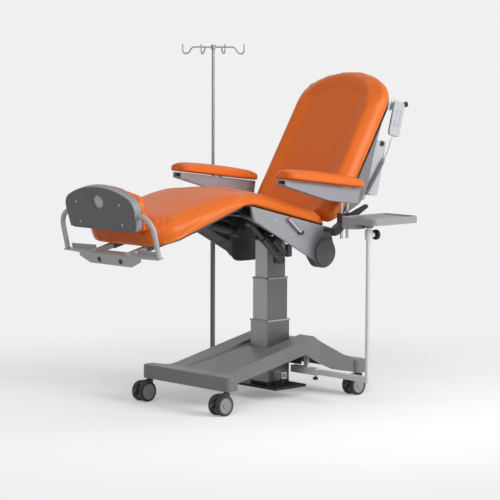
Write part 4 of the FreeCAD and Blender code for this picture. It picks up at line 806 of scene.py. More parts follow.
class Finishes:
    """All finishes, built once and handed out by name."""

    def __init__(self) -> None:
        """Build every material."""
        groups = {"mottle": Effects.mottle(), "pores": Effects.pores(), "seam": Effects.seam()}
        self.made = {row.name: row.build(groups) for row in self.rows()}

    @staticmethod
    def rows() -> list[Finish]:
        """List the finishes.

        Returns:
            The finishes.
        """
        moulded, painted, bright = Surface.MOULDED, Surface.PAINTED, Surface.BRIGHT
        up, foot = ARM.direction(0, 0, 1), LEG.direction(1, 0, 0)
        post = Zone((206, 207, 210), Measure.ALONG, -up.dot(ARM.world(0, 0, -77.0)), tuple(-up),
                    metal=True, rough=0.2)
        rim = Zone((150, 150, 154), Measure.ALONG, foot.dot(LEG.world(-654.0, 0, 0)), tuple(foot),
                   soft=0.004)
        # wall: the side covers' own light grey, on their outer faces. Inward of these faces the
        # cover keeps its finish's dark main colour, which is painted shadow on the skirt.
        wall = Zone((153, 153, 157), Measure.ACROSS, 0.302, soft=0.006)
        # barrel: painted shade, a soft dark ring round each barrel's end cap where the cover turns
        # away from the light.
        barrel = Zone((84, 83, 86), Measure.RING, 0.07, tuple(SEAT.world(528.0, 0, -112.0)),
                      soft=0.075, inside=True)
        # side: painted shade, making faces that look across the couch darker than those that look
        # along it.
        side = Zone((112, 111, 114), Measure.SIDEWAYS, 0.5, soft=0.4, rough=0.36)
        plate = Zone((52, 51, 54), Measure.ALONG, -0.0782, (0, 0, -1))
        front, rear = (Zone((50, 49, 52), Measure.RING, 0.0375, (axle, 0, 0.05), rough=0.7)
                       for axle in (-0.591, 0.32))
        column, tube, fine = (1800.0, 0.00003), (1800.0, 0.00004), (1500.0, 0.00005)
        cast, smooth = (1300.0, 0.00007), (1300.0, 0.00008)
        wheel, steel = (150, 150, 154), (2500.0, 0.00001)
        return [
            Finish("orange_vinyl", Surface.VINYL, (233, 113, 34), 0.06, (0.36, 0.46), 620.0,
                   0.00014, gloss=0.28),
            Finish("base_moulding", moulded, (122, 121, 124), 0.05, (0.36, 0.48), *smooth),
            Finish("castor_moulding", moulded, (64, 63, 66), 0.08, (0.42, 0.56)),
            Finish("wheel_front", moulded, wheel, 0.06, (0.4, 0.52), zones=(front,)),
            Finish("wheel_rear", moulded, wheel, 0.06, (0.4, 0.52), zones=(rear,)),
            # The side zone paints shade on the column's sideways faces.
            Finish("column_coat", painted, (158, 157, 160), 0.04, (0.3, 0.38), *column, metal=0.8,
                   zones=(side,)),
            Finish("column_foot_coat", painted, (150, 149, 152), 0.04, (0.3, 0.38), *column,
                   metal=0.6, zones=(side, plate)),
            Finish("tube_coat", painted, (222, 222, 226), 0.05, (0.35, 0.48), *tube),
            Finish("pole_coat", painted, (114, 114, 117), 0.05, (0.32, 0.45), *tube),
            Finish("bracket_coat", painted, (179, 179, 182), 0.06, (0.36, 0.5), *fine),
            # The cover's dark main colour is painted shadow on the skirt and inner faces. Its wall
            # zone gives the covers' own grey, and its barrel zone gives painted shade by the end
            # caps.
            Finish("cover_moulding", moulded, (58, 57, 60), 0.05, (0.42, 0.54), *cast,
                   zones=(wall, barrel)),
            Finish("arm_moulding", moulded, (157, 157, 162), 0.05, (0.42, 0.54), *cast,
                   zones=(post,)),
            Finish("shell_moulding", moulded, (126, 127, 130), 0.05, (0.45, 0.58), *cast),
            Finish("cap_moulding", moulded, (74, 73, 76), 0.07, (0.42, 0.55)),
            Finish("plate_moulding", moulded, (97, 96, 100), 0.05, (0.48, 0.6), *smooth,
                   zones=(rim,)),
            Finish("pale_moulding", moulded, (193, 194, 200), 0.04, (0.42, 0.54), *fine),
            Finish("tray_moulding", moulded, (156, 156, 159), 0.05, (0.4, 0.5), *fine),
            Finish("black_moulding", moulded, (27, 27, 29), 0.15, (0.4, 0.55)),
            Finish("key_moulding", moulded, (182, 184, 190), 0.05, (0.45, 0.55)),
            Finish("boss_moulding", moulded, (196, 195, 199), 0.06, (0.4, 0.52), 1500.0, 0.00006),
            Finish("drive_moulding", moulded, (94, 93, 96), 0.08, (0.42, 0.55), *smooth),
            Finish("dark_coat", painted, (62, 61, 64), 0.1, (0.4, 0.55), 1500.0, 0.00006),
            Finish("bright_steel", bright, (205, 206, 210), 0.05, (0.14, 0.26), 2500.0, 0.000006,
                   metal=1.0),
            Finish("satin_steel", bright, (154, 155, 159), 0.05, (0.3, 0.42), *steel, metal=1.0),
            Finish("screw_steel", bright, (188, 189, 192), 0.05, (0.25, 0.4), *steel, metal=1.0),
            Finish("cord_jacket", moulded, (146, 146, 149), 0.06, (0.45, 0.6), 2500.0, 0.00003),
        ]

    def on(self, obj: Piece, name: str) -> None:
        """Give an object one finish all over."""
        obj.data.materials.clear()
        obj.data.materials.append(self.made[name])


@dataclass
class Studio:
    """Camera, lamps and floor.

    Attributes:
        place: Camera place, in metres.
        yaw: Camera heading from +Y toward +X, in degrees.
        pitch: Camera tilt down, in degrees.
        roll: Camera roll, in degrees.
        lens: Lens in millimetres on a 36 mm frame.
        ground: Floor and backdrop colour.
        ambient: Strength of the even light from all round.
        paint: How bright the floor's paint shows.
        bounce: How much light the floor gives back to the couch.
        glow: Floor brightness that shadows leave.
        room: Brightness of the room before the backdrop, as metal shows it.
        room_edge: Where the room ends and the backdrop starts, along its direction.
        backdrop_way: Direction to the backdrop.
        floor_side: Side of the floor, in metres.
        floor_fade: Distances over which the floor runs into the backdrop, in metres.
        lamps: Name, place, aim and side in metres and power in watts of each lamp.
    """

    place: Point = (-7.3729, -7.6087, 1.7805)
    yaw: float = 43.55
    pitch: float = 5.673
    roll: float = 0.2226
    lens: float = 153.72
    ground: Colour = (240, 240, 241)
    ambient: float = 0.3
    paint: float = 0.92
    bounce: float = 0.58
    glow: float = 0.24
    room: float = 0.3
    room_edge: tuple[float, float] = (-0.35, 0.25)
    backdrop_way: Point = (0.45, 0.89, 0.0)
    floor_side: float = 160.0
    floor_fade: tuple[float, float] = (0.9, 2.6)
    lamps: tuple[tuple[str, Point, Point, float, float], ...] = (
        ("key", (1.8, -6.2, 3.0), (0, 0, 0.8), 3.2, 308.0),
        ("fill", (-4.6, -3.0, 4.4), (-0.1, 0, 0.9), 3.5, 108.0),
        ("top", (-0.4, 0.2, 6.0), (0, 0, 0.6), 4.0, 18.0))

    def camera(self) -> None:
        """Set the camera at the photograph's view."""
        yaw, pitch, roll = (math.radians(v) for v in (self.yaw, self.pitch, self.roll))
        level = math.cos(pitch)
        ahead = Vector((math.sin(yaw) * level, math.cos(yaw) * level, -math.sin(pitch)))
        flat = Vector((math.cos(yaw), -math.sin(yaw), 0))
        over = flat.cross(ahead)
        right = flat * math.cos(roll) + over * math.sin(roll)
        up = over * math.cos(roll) - flat * math.sin(roll)
        data = bpy.data.cameras.new("camera")
        data.sensor_width = 36.0
        data.lens = self.lens
        data.clip_end = 200.0
        camera = bpy.data.objects.new("camera", data)
        turn = Matrix((right, up, -ahead)).transposed().to_4x4()
        camera.matrix_world = Matrix.Translation(self.place) @ turn
        bpy.context.scene.collection.objects.link(camera)
        bpy.context.scene.camera = camera

    def lamp(self, name: str, place: Point, aim: Point, size: float, power: float) -> None:
        """Add a square soft lamp.

        Args:
            name: Lamp name.
            place: Its place, in metres.
            aim: The point it faces.
            size: Side, in metres.
            power: Power, in watts.
        """
        data = bpy.data.lights.new(name, "AREA")
        data.size = size
        data.energy = power
        lamp = bpy.data.objects.new(name, data)
        lamp.location = place
        lamp.rotation_euler = (Vector(aim) - Vector(place)).to_track_quat("-Z", "Y").to_euler()
        bpy.context.scene.collection.objects.link(lamp)

    def seen(self, graph: Graph) -> Socket:
        """Say which rays show the backdrop: the camera's, mirrored ones and those through glass.

        Args:
            graph: The nodes of the floor or the world.

        Returns:
            A socket that is 1 for those rays.
        """
        path = graph.node("ShaderNodeLightPath", {}).outputs
        total = path["Is Camera Ray"]
        for label in ("Is Glossy Ray", "Is Transmission Ray"):
            total = graph.sum("MAXIMUM", total, path[label])
        return total

    def world(self) -> None:
        """Light the scene evenly and show the backdrop's colour behind it."""
        world = bpy.data.worlds.new("studio")
        bpy.context.scene.world = world
        graph = Graph.of(world)
        lit = graph.tree.nodes["Background"]
        graph.put(lit.inputs["Color"], (1, 1, 1, 1))
        graph.put(lit.inputs["Strength"], self.ambient)
        way = graph.out("Generated", "ShaderNodeTexCoord", {})
        behind = graph.vector_sum("DOT_PRODUCT", way, self.backdrop_way)
        share = graph.span(behind, *self.room_edge, way="LINEAR")
        tint = graph.mix(share, [self.room] * 3 + [1], linear(self.ground))
        shown = graph.out("Background", "ShaderNodeBackground", {"Color": tint})
        graph.show("World Output", self.seen(graph), lit.outputs["Background"], shown)

    def floor(self) -> None:
        """Lay a plain pale floor that keeps the couch's shadow and runs into the backdrop."""
        Bench.clear()
        bpy.ops.mesh.primitive_plane_add(size=self.floor_side)
        floor = bpy.context.object
        floor.name = "floor"
        material = bpy.data.materials.new("floor_paint")
        graph = Graph.of(material)
        shader = graph.tree.nodes["Principled BSDF"]
        seen = self.seen(graph)
        bounce, paint = ([level] * 3 + [1] for level in (self.bounce, self.paint))
        for label, value in (("Roughness", 1.0), ("Specular IOR Level", 0.0),
                             ("Emission Color", (1, 1, 1, 1)),
                             ("Base Color", graph.mix(seen, bounce, paint)),
                             ("Emission Strength", graph.sum("MULTIPLY", seen, self.glow))):
            graph.put(shader.inputs[label], value)
        place = graph.out("Object", "ShaderNodeTexCoord", {})
        away = graph.span(graph.vector_sum("LENGTH", place), *self.floor_fade)
        plain = graph.out("Emission", "ShaderNodeEmission", {"Color": linear(self.ground)})
        share = graph.sum("MULTIPLY", away, seen)
        graph.show("Material Output", share, shader.outputs["BSDF"], plain)
        floor.data.materials.append(material)

    def build(self) -> None:
        """Set up the whole studio."""
        self.camera()
        self.world()
        for row in self.lamps:
            self.lamp(*row)
        self.floor()
        bpy.context.scene.view_settings.view_transform = "Standard"


@dataclass
class CurlyCord:
    """Curly cord from the hand control to the back of the couch.

    Attributes:
        finishes: The couch's finishes.
        wire: Cord diameter, in metres.
        coil: Radius of the curls' middle line, in metres.
        turns: Number of curls.
        turn_points: Control points of one curl.
        thin: Steps of the route's line from one control point to the next.
        ends: Routed points where the curls start and end.
        route: Points that the cord's line is drawn through, in metres.
    """

    finishes: Finishes
    wire: float = 0.0044
    coil: float = 0.009
    turns: int = 28
    turn_points: int = 14
    thin: int = 6
    ends: tuple[int, int] = (3, 5)
    route: tuple[Point, ...] = (
        (0.59925, -0.253, 1.27022), (0.5955, -0.253, 1.2545), (0.583, -0.2535, 1.222),
        (0.5565, -0.254, 1.1806), (0.488, -0.254, 1.09), (0.4200, -0.254, 1.0000),
        (0.405, -0.254, 0.978), (0.3962, -0.254, 0.9743), (0.3886, -0.254, 0.9789))

    def line(self, points: Iterable[Sequence[float]], name: str, bevel: float) -> Piece:
        """Draw one smooth open line through points.

        Args:
            points: Control points, in metres.
            name: Object name.
            bevel: Half the cord's thickness, or 0 for a bare line.

        Returns:
            The curve object.
        """
        data = bpy.data.curves.new(name, "CURVE")
        data.dimensions = "3D"
        data.resolution_u = 6
        spline = data.splines.new("NURBS")
        points = [tuple(p) for p in points]
        spline.points.add(len(points) - 1)
        for point, place in zip(spline.points, points):
            point.co = (*place, 1.0)
        spline.order_u = 3
        spline.use_endpoint_u = True
        data.bevel_depth = bevel
        data.bevel_resolution = 3
        data.use_fill_caps = bevel > 0
        obj = bpy.data.objects.new(name, data)
        bpy.context.scene.collection.objects.link(obj)
        return obj

    def traced(self, points: Iterable[Sequence[float]], resolution: int) -> tuple[list, list]:
        """Trace the smooth line through points.

        Args:
            points: Control points, in metres.
            resolution: Steps from one to the next.

        Returns:
            The line's points, and each one's distance along it.
        """
        bare = self.line(points, "cord_line", 0.0)
        bare.data.resolution_u = resolution
        bpy.context.view_layer.update()
        mesh = bpy.data.meshes.new_from_object(bare)
        path = [v.co.copy() for v in mesh.vertices]
        bpy.data.objects.remove(bare)
        bpy.data.meshes.remove(mesh)
        steps = [0.0]
        for a, b in zip(path, path[1:]):
            steps.append(steps[-1] + (b - a).length)
        return path, steps

    def curls(self) -> list[Vector]:
        """Wind the curls round the route's own smooth line.

        Returns:
            The cord's control points from end to end.
        """
        path, steps = self.traced(self.route, 64)
        top, low = (min(range(len(path)), key=lambda i: (path[i] - Vector(self.route[end])).length)
                    for end in self.ends)
        run = steps[low] - steps[top]
        points = path[0:top:self.thin]
        axis = (path[low] - path[top]).normalized()
        side = axis.cross(Vector((0, 1, 0))).normalized()
        out = axis.cross(side).normalized()
        count = self.turn_points * self.turns
        index = top
        for i in range(count + 1):
            share = i / count
            while index < low and steps[index + 1] < steps[top] + share * run:
                index += 1
            ease = min(1.0, 8 * share, 8 * (1 - share))
            angle = 2 * math.pi * self.turns * share
            radius = self.coil * (0.35 + 0.65 * ease)
            swing = (side * math.cos(angle) + out * math.sin(angle)) * radius
            span = max(steps[index + 1] - steps[index], 1e-9)
            part = (steps[top] + share * run - steps[index]) / span
            points.append(path[index].lerp(path[index + 1], part) + swing)
        points += path[low + self.thin::self.thin]
        if (points[-1] - path[-1]).length > 1e-6:
            points.append(path[-1])
        return points

    def build(self) -> None:
        points = self.curls()
        cord = self.line(points, "curly_cord", self.wire / 2)
        self.finishes.on(cord, "cord_jacket")
        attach(cord, "back")
        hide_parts("handset_cord")
        length = self.traced(points, cord.data.resolution_u)[1][-1]
        LOG.info("curly cord %.3f m", length)


@dataclass
class Upholstery:
    """The padded pieces in orange vinyl, whose forms are in millimetres of their sections.

    Attributes:
        finishes: The couch's finishes.
        voxel: Mesh step of a padded piece, in metres.
        shrink: How far a pad starts inside its solid, in metres.
        cap: How far its stuffing may push it out, in metres.
        pressure: Pressure of the stuffing.
        steps: Steps of the cloth simulation.
        hold: Height over its board up to which a pad is held, in metres.
        crease: How deep a seam draws the vinyl in, in metres.
        crease_width: How far from the seam it does so, in metres.
        half: Half the cushions' width.
        border: Width of the border outside the seam.
        board: Height up to which the seat and leg cover is held.
        leg_taper: How much that height falls along the leg section, as a share.
        leg_corner_x: Distance from the knee to where the leg section's corners start.
        leg_corner_r: Radius of those corners in plan.
        back_len: Length of the back from its hinge.
        arch_top_r: Radius of the back's arched top.
        arch_corner_r: Radius of the arch's corners.
        knee_gap: Half the gap that the fold at the knee fills, in metres.
        knee_round: Distance from the knee over which its fold is rounded.
        knee_drop: How much that lowers it, as a share.
        nose_mid: Height of the foot end's middle over the hinge plane.
        nose_half: Half of its height.
        nose_depth: How far its top and lower edge are drawn back.
    """

    finishes: Finishes
    voxel: float = 0.006
    shrink: float = 0.004
    cap: float = 0.012
    pressure: float = 4.0
    steps: int = 20
    hold: float = 0.008
    crease: float = 0.0012
    crease_width: float = 0.008
    half: float = 303.0
    border: float = 50.0
    board: float = 26.0
    leg_taper: float = 0.081
    leg_corner_x: float = 438.0
    leg_corner_r: float = 150.0
    back_len: float = 845.0
    arch_top_r: float = 430.0
    arch_corner_r: float = 140.0
    knee_gap: float = 0.03
    knee_round: float = 190.0
    knee_drop: float = 0.15
    nose_mid: float = 32.0
    nose_half: float = 61.0
    nose_depth: float = 38.0

    def remesh(self, obj: Piece, rounds: int) -> None:
        """Rebuild a pad's mesh evenly and ease its corners.

        Args:
            obj: The pad.
            rounds: Smoothing rounds.
        """
        Bench.only(obj)
        obj.data.remesh_voxel_size = self.voxel
        bpy.ops.object.voxel_remesh()
        Bench.ease(obj, rounds)

    def stuff(self, obj: Piece, held: Move) -> None:
        """Swell a pad with a cloth simulation, held where it rests on its board.

        Args:
            obj: The pad.
            held: Takes points and says which stay in place.
        """
        Bench.draw_in(obj, self.shrink)
        start = Bench.rows(obj.data)
        group = obj.vertex_groups.new(name="held")
        group.add([int(i) for i in np.nonzero(held(start))[0]], 1.0, "REPLACE")
        cloth = obj.modifiers.new("cloth", "CLOTH")
        settings = cloth.settings
        settings.quality = 3
        settings.mass = 0.3
        settings.use_pressure = True
        settings.uniform_pressure_force = self.pressure
        settings.vertex_group_mass = "held"
        settings.effector_weights.gravity = 0
        cloth.collision_settings.use_collision = False
        scene = bpy.context.scene
        for step in range(self.steps):
            scene.frame_set(step + 1)
        view = bpy.context.evaluated_depsgraph_get()
        shift = Bench.rows(obj.evaluated_get(view).to_mesh()) - start
        obj.evaluated_get(view).to_mesh_clear()
        obj.modifiers.remove(cloth)
        size = np.maximum(np.linalg.norm(shift, axis=1, keepdims=True), 1e-9)
        Bench.set_rows(obj, start + shift * np.minimum(1.0, self.cap / size))
        scene.frame_set(1)
        obj.vertex_groups.remove(group)

    def finish(self, obj: Piece, fill: float, nodes: Sequence[str],
               seam: Callable[[np.ndarray], tuple[np.ndarray, np.ndarray]]) -> None:
        """Args:
            obj: The pad.
            fill: How tight its stuffing is; not used.
            nodes: The solids that it stands for.
            seam: Takes points and gives their distances from the seam and along it, in metres.
        """
        Bench.ease(obj, 3)
        off, run = seam(Bench.rows(obj.data))
        Bench.draw_in(obj, (self.crease * np.exp(-(off / self.crease_width) ** 2))[:, None])
        lines = obj.data.attributes.new("seam", "FLOAT_VECTOR", "POINT")
        rows = np.stack([off, run, np.zeros(len(off))], axis=1).astype(np.float32)
        lines.data.foreach_set("vector", rows.ravel())
        Bench.only(obj)
        bpy.ops.object.shade_smooth()
        self.finishes.on(obj, "orange_vinyl")
        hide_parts(*nodes)
        LOG.info("padded %s", obj.name)

    def arch_depth(self, s: np.ndarray, y: np.ndarray) -> np.ndarray:
        """Say how far points of the back lie inside its arched outline.

        Args:
            s: Heights up the back.
            y: Distances across it.

        Returns:
            The depths.
        """
        top_s = self.back_len - self.arch_top_r
        corner_w = self.half - self.arch_corner_r
        corner_s = top_s + math.sqrt((self.arch_top_r - self.arch_corner_r) ** 2 - corner_w ** 2)
        q_s, q_y = s - corner_s, np.abs(y) - corner_w
        over = self.arch_top_r - np.hypot(s - top_s, y)
        corner = self.arch_corner_r - np.hypot(q_s, q_y)
        in_corner = (q_s >= 0) & (q_y * (corner_s - top_s) >= q_s * corner_w)
        return np.where(q_s < 0, self.half - np.abs(y), np.where(in_corner, corner, over))

    def bolsters(self, points: np.ndarray) -> np.ndarray:
        """Run the back's bolster round its arched top in one soft roll.

        Args:
            points: Rows of along, across, up of the back.

        Returns:
            The shaped rows.
        """
        middle, reach, high, low_top, edge, board, front = 73.0, 60.0, 20.0, 13.0, 18.0, 8.0, 36.0
        s, y, z = points.T
        depth = self.arch_depth(s, y)
        share = np.clip(1 - ((depth - middle) / reach) ** 2, 0.0, 1.0)
        crest = high - low_top * rise(s, 600.0, 790.0)
        roll = np.sqrt(1 - (1 - np.clip(depth / edge, 0.0, 1.0)) ** 2)
        face = board + front * roll + crest * share * (0.2 + 0.8 * share)
        weight = rise(depth, -2.0, 9.0) * rise(z, -10.0, 10.0) * rise(s, -5.0, 40.0)
        return np.stack([s, y, z + (face - z) * weight], axis=1)

    @staticmethod
    def footrest_form(points: np.ndarray) -> np.ndarray:
        """Deepen the footrest's pad toward the leg section, clear of the leg cushion.

        Args:
            points: Rows of along, across, up of the leg section.

        Returns:
            The shaped rows.
        """
        plate, thick, back, low, more, lift = 636.0, 36.0, 20.0, 22.0, 16.0, 4.0
        x, y, z = points.T
        share = np.clip((x + plate) / thick, 0.0, 1.0)
        deep = low + more * rise(z, 84.0, 130.0)
        x = x + back + (deep - back) * share
        return np.stack([x, y, z + lift * rise(z, 120.0, 250.0)], axis=1)

    def nose(self, points: np.ndarray) -> np.ndarray:
        """Round the leg cushion's foot end from its top to its board.

        Args:
            points: Rows of along, across, up of the leg section.

        Returns:
            The shaped rows.
        """
        x, y, z = points.T
        high = np.clip((z - self.nose_mid) / self.nose_half, -1.0, 1.0)
        near = 1 - rise(x, -590.0, -490.0)
        back = self.nose_depth * (1 - np.sqrt(1 - 0.97 * high ** 2)) * near
        return np.stack([x + back, y, z], axis=1)

    def pad(self, name: str, node: str, body: str, section: Section, rest: float, rounds: int,
            up: Point = (0, 0, 1), form: Move | None = None, seam_up: float = 5.0) -> None:
        """Make one pad from its solid.

        Args:
            name: The pad's name.
            node: The solid that it is made from.
            body: The body it rides on.
            section: The section that its board lies in.
            rest: Place of its board along the way up from it, in millimetres.
            rounds: Smoothing rounds.
            up: Way from the board into the pad, in the section's axes.
            form: Shapes the pad in the section's axes before it is stuffed.
            seam_up: Height of its border seam over the board, in millimetres.
        """
        obj = Bench.node_copy(name, node)
        if form:
            Bench.hull(obj)
            self.remesh(obj, rounds)
            Bench.reshape(obj, section, form)
        self.remesh(obj, rounds)
        way = np.array(section.direction(*up))
        base = np.array(section.world(*[rest * part for part in up]))

        def border(points: np.ndarray) -> tuple[np.ndarray, np.ndarray]:
            """Run the seam round the pad's border, near its board.

            Args:
                points: Rows of x, y, z.

            Returns:
                Distances from the seam and along it.
            """
            along, across, _ = section.local(points).T
            turn = np.arctan2(across - across.mean(), along - along.mean())
            return (points - base) @ way - seam_up / PER_METRE, turn * 0.3
        self.stuff(obj, lambda points: (points - base) @ way < self.hold)
        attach(obj, body)
        self.finish(obj, 0.8, [node], border)

    @property
    def knee(self) -> np.float64:
        """The knee's place along the couch, in metres and in double precision."""
        return np.float64(SEAT.world(0, 0, 0).x)

    def held_cover(self, points: np.ndarray) -> np.ndarray:
        """Say which points of the seat and leg cover lie on the two boards.

        Args:
            points: Rows of x, y, z.

        Returns:
            True for each of them.
        """
        seat, leg = SEAT.local(points)[:, 2], LEG.local(points)
        on_leg = leg[:, 2] - self.leg_taper * leg[:, 0] < self.board
        return np.where(points[:, 0] > self.knee, seat < self.board, on_leg)

    def panel(self, points: np.ndarray) -> tuple[np.ndarray, np.ndarray]:
        """Run the seam between the top panel and its border, round the leg section's end.

        Args:
            points: Rows of x, y, z.

        Returns:
            Distances from the seam and along it.
        """
        top, far, inner_r = 52.0, 900.0, self.leg_corner_r - self.border
        seat, leg = SEAT.local(points), LEG.local(points)
        ends = np.stack([-self.leg_corner_x - leg[:, 0],
                         np.abs(leg[:, 1]) - self.half + self.leg_corner_r], axis=1)
        round_end = np.linalg.norm(np.maximum(ends, 0), axis=1) - self.leg_corner_r
        on_leg = points[:, 0] < self.knee
        off = np.where(on_leg, round_end, np.abs(seat[:, 1]) - self.half) + self.border
        corner = np.arctan2(np.maximum(ends[:, 0], 0), np.maximum(ends[:, 1], 1.0)) * inner_r
        run = np.where(on_leg, np.maximum(leg[:, 0], -self.leg_corner_x) - corner, seat[:, 0])
        high = np.where(on_leg, leg[:, 2], seat[:, 2]) > top
        return np.where(high, off, far) / PER_METRE, run / PER_METRE

    def seat_and_leg(self) -> None:
        """Make the one cover that runs over the seat, the knee and the leg section."""
        nodes = ("seat_cushion", "leg_cushion")
        obj = Bench.node_copy("seat_and_leg_cover", *nodes)
        wedge = Bench.copied("knee_fold", obj)
        knee = self.knee
        Bench.choose(wedge, "vertices", lambda vertex: abs(vertex.co.x - knee) > self.knee_gap)
        with Bench.editing(wedge):
            bpy.ops.mesh.delete(type="VERT")
        Bench.hull(wedge)
        obj = Bench.joined("seat_and_leg_cover", [obj, wedge])
        self.remesh(obj, 14)
        points = Bench.rows(obj.data)
        seat, leg = SEAT.local(points)[:, 2], LEG.local(points)[:, 2]
        high = rise(np.where(points[:, 0] > knee, seat, leg), 25.0, 70.0)
        near = np.maximum(self.knee_round - np.abs(points[:, 0] - knee) * PER_METRE, 0.0)
        points[:, 2] -= self.knee_drop * near ** 2 / (2 * self.knee_round) / PER_METRE * high
        Bench.set_rows(obj, points)
        Bench.reshape(obj, LEG, self.nose)
        self.stuff(obj, self.held_cover)
        self.finish(obj, 0.85, nodes, self.panel)
        SEAT.world(70, 0, 60)
        LEG.world(-70, 0, 60)
        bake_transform(obj)

    def build(self) -> None:
        """Make every padded piece."""
        self.seat_and_leg()
        self.pad("back_pad", "back_cushion", "back", BACK, -30.0, 8, form=self.bolsters,
                 seam_up=9.0)
        self.pad("footrest_cushion", "footrest_pad", "footrest", LEG, -616.0, 6, up=(1, 0, 0),
                 form=self.footrest_form)
        for side in SIDES:
            self.pad("armrest_pad_" + side, "arm_pad_" + side, "arm_" + side, ARM, 0.0, 6)


@dataclass
class Fittings:
    """Mouldings, screws, plugs, caps and keys.

    Attributes:
        finishes: The couch's finishes.
        head: Screw head radius, in metres.
        dome: Screw head height, in metres.
        socket: Radius of the screw's socket, in metres.
        sunk: How far a fitting's foot is sunk, in metres.
        collar_in: How far a column collar reaches in, in millimetres.
        collar_out: How far it stands out, in millimetres.
    """

    finishes: Finishes
    head: float = 0.0058
    dome: float = 0.0026
    socket: float = 0.0028
    sunk: float = 0.001
    collar_in: float = 6.5
    collar_out: float = 1.3

    def keep(self, obj: Piece, finish: str, body: str) -> None:
        """Dress a finished fitting and let it ride on its body.

        Args:
            obj: The fitting.
            finish: Its finish.
            body: The body it rides on.
        """
        Bench.settle(obj)
        self.finishes.on(obj, finish)
        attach(obj, body)
        LOG.info("fitted %s", obj.name)

    def screw(self) -> Piece:
        """Model one domed socket screw at the origin, pointing up.

        Returns:
            The screw.
        """
        foot, edge = Vector((0, 0, -self.sunk)), Vector((0, 0, self.dome * 0.55))
        obj = Bench.drum("screw", foot, edge, self.head, 24)
        shoulder = self.head - self.socket - 0.0014
        for rim, share in ((0.0012, -0.3), (shoulder, -0.15), (0.0002, 0.7)):
            Bench.recess(obj, lambda centre, normal: normal.z > 0.99 and centre.xy.length < 0.0001,
                         rim, self.dome * share)
        return obj

    def button(self, radius: float, height: float, dish: float) -> Piece:
        """Model a round cap with a rolled edge at the origin, pointing up.

        Args:
            radius: Its radius, in metres.
            height: How far it stands out, in metres.
            dish: How deep its middle is dished, in metres.

        Returns:
            The cap.
        """
        obj = Bench.drum("button", Vector((0, 0, -self.sunk)), Vector((0, 0, height)), radius, 48)
        Bench.recess(obj, lambda centre, normal: normal.z > 0.99, radius * 0.3, dish)
        Bench.round_edges(obj, min(height, radius) * 0.3, 4)
        return obj

    def block(self, section: Section, low: Point, high: Point, rounding: float) -> Piece:
        """Model a rounded block with a sunk outer face in a section's axes.

        Args:
            section: The section it is drawn in.
            low: Lowest corner, in millimetres.
            high: Highest corner, in millimetres.
            rounding: Edge radius, in metres.

        Returns:
            The block.
        """
        obj = Bench.slab("block", section, low, high)
        outward = Vector((0, -1 if low[1] < 0 else 1, 0))
        Bench.recess(obj, lambda centre, normal: normal.dot(outward) > 0.9, 2.2 * rounding,
                     0.4 * rounding)
        Bench.round_edges(obj, rounding)
        return obj

    def moulding(self, name: str, node: str, section: Section, move: Move, finish: str, body: str,
                 cut: Test | None = None) -> None:
        """Make a fuller moulding from a solid of the frame, in its place.

        Args:
            name: The moulding's name.
            node: The solid it stands for.
            section: The section it is shaped in.
            move: Shapes its points in the section's axes.
            finish: Its finish.
            body: The body it rides on.
            cut: Says which edges are divided first, by their two ends.
        """
        obj = Bench.node_copy(name, node)
        if cut:
            Bench.cut_edges(obj, cut, 30)
        Bench.reshape(obj, section, move)
        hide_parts(node)
        self.keep(obj, finish, body)
        Bench.modify(obj, "WEIGHTED_NORMAL", keep_sharp=True)

    @staticmethod
    def plate_form(points: np.ndarray) -> np.ndarray:
        """Deepen the footrest plate's rim, carry its arch higher and sink its boss into a dimple.

        Args:
            points: Rows of along, across, up of the leg section.

        Returns:
            The shaped rows.
        """
        rim, deeper, dimple, boss_z, boss_r = -651.0, 37.0 / 15.0, -648.0, 190.0, 36.0
        higher, foot_lift, foot, corner_y, corner_r = 22.0, 12.0, 71.5, 212.0, 26.0
        x, y, z = points.T
        boss = (np.hypot(y, z - boss_z) < boss_r) & (x < -650.0)
        floor = boss & (x < -661.5)
        spread = np.where(floor, 0.9, np.where(boss, 1.2, 1.0))
        x = np.where(x > rim, rim + (x - rim) * deeper, np.where(floor, dimple, x))
        arch = higher * rise(z, 120.0, 250.0) + foot_lift * (1 - rise(z, 70.0, 150.0))
        corner = np.clip(np.abs(y) - corner_y, 0.0, corner_r)
        lift = np.where(boss, higher, arch)
        lift += np.where(z < foot, corner_r - np.sqrt(corner_r ** 2 - corner ** 2), 0.0)
        return np.stack([x, y * spread, boss_z + (z - boss_z) * spread + lift], axis=1)

    @staticmethod
    def cover_form(points: np.ndarray) -> np.ndarray:
        """Make a side cover shallow behind its lower edge, up to its barrel.

        Args:
            points: Rows of along, across, up of the seat.

        Returns:
            The shaped rows.
        """
        inner_y, inner_z, lift, highest, wider = 228.0, -40.0, 54.0, -38.0, 0.18
        x, y, z = points.T
        inner = (np.abs(y) < inner_y) & (z < inner_z)
        barrel = rise(x, 430.0, 500.0)
        y = np.where(inner, y * (1 + wider * barrel), y)
        z = np.where(inner, np.minimum(z + lift * (1 - barrel), highest), z)
        return np.stack([x, y, z], axis=1)

    @staticmethod
    def shell_form(points: np.ndarray) -> np.ndarray:
        """Deepen the back's shell toward its lower half.

        Args:
            points: Rows of along, across, up of the back.

        Returns:
            The shaped rows.
        """
        board, more = -35.0, 0.55
        s, y, z = points.T
        deeper = 1 + more * (1 - rise(s, 380.0, 560.0)) * rise(s, 90.0, 240.0)
        return np.stack([s, y, board + (z - board) * deeper], axis=1)

    @staticmethod
    def handset_form(points: np.ndarray) -> np.ndarray:
        """Make the hand control slim behind its face.

        Args:
            points: Rows of x, y, z in millimetres.

        Returns:
            The shaped rows.
        """
        face, slim = -262.0, 0.25
        x, y, z = points.T
        return np.stack([x, np.where(y > face, face + (y - face) * slim, y), z], axis=1)

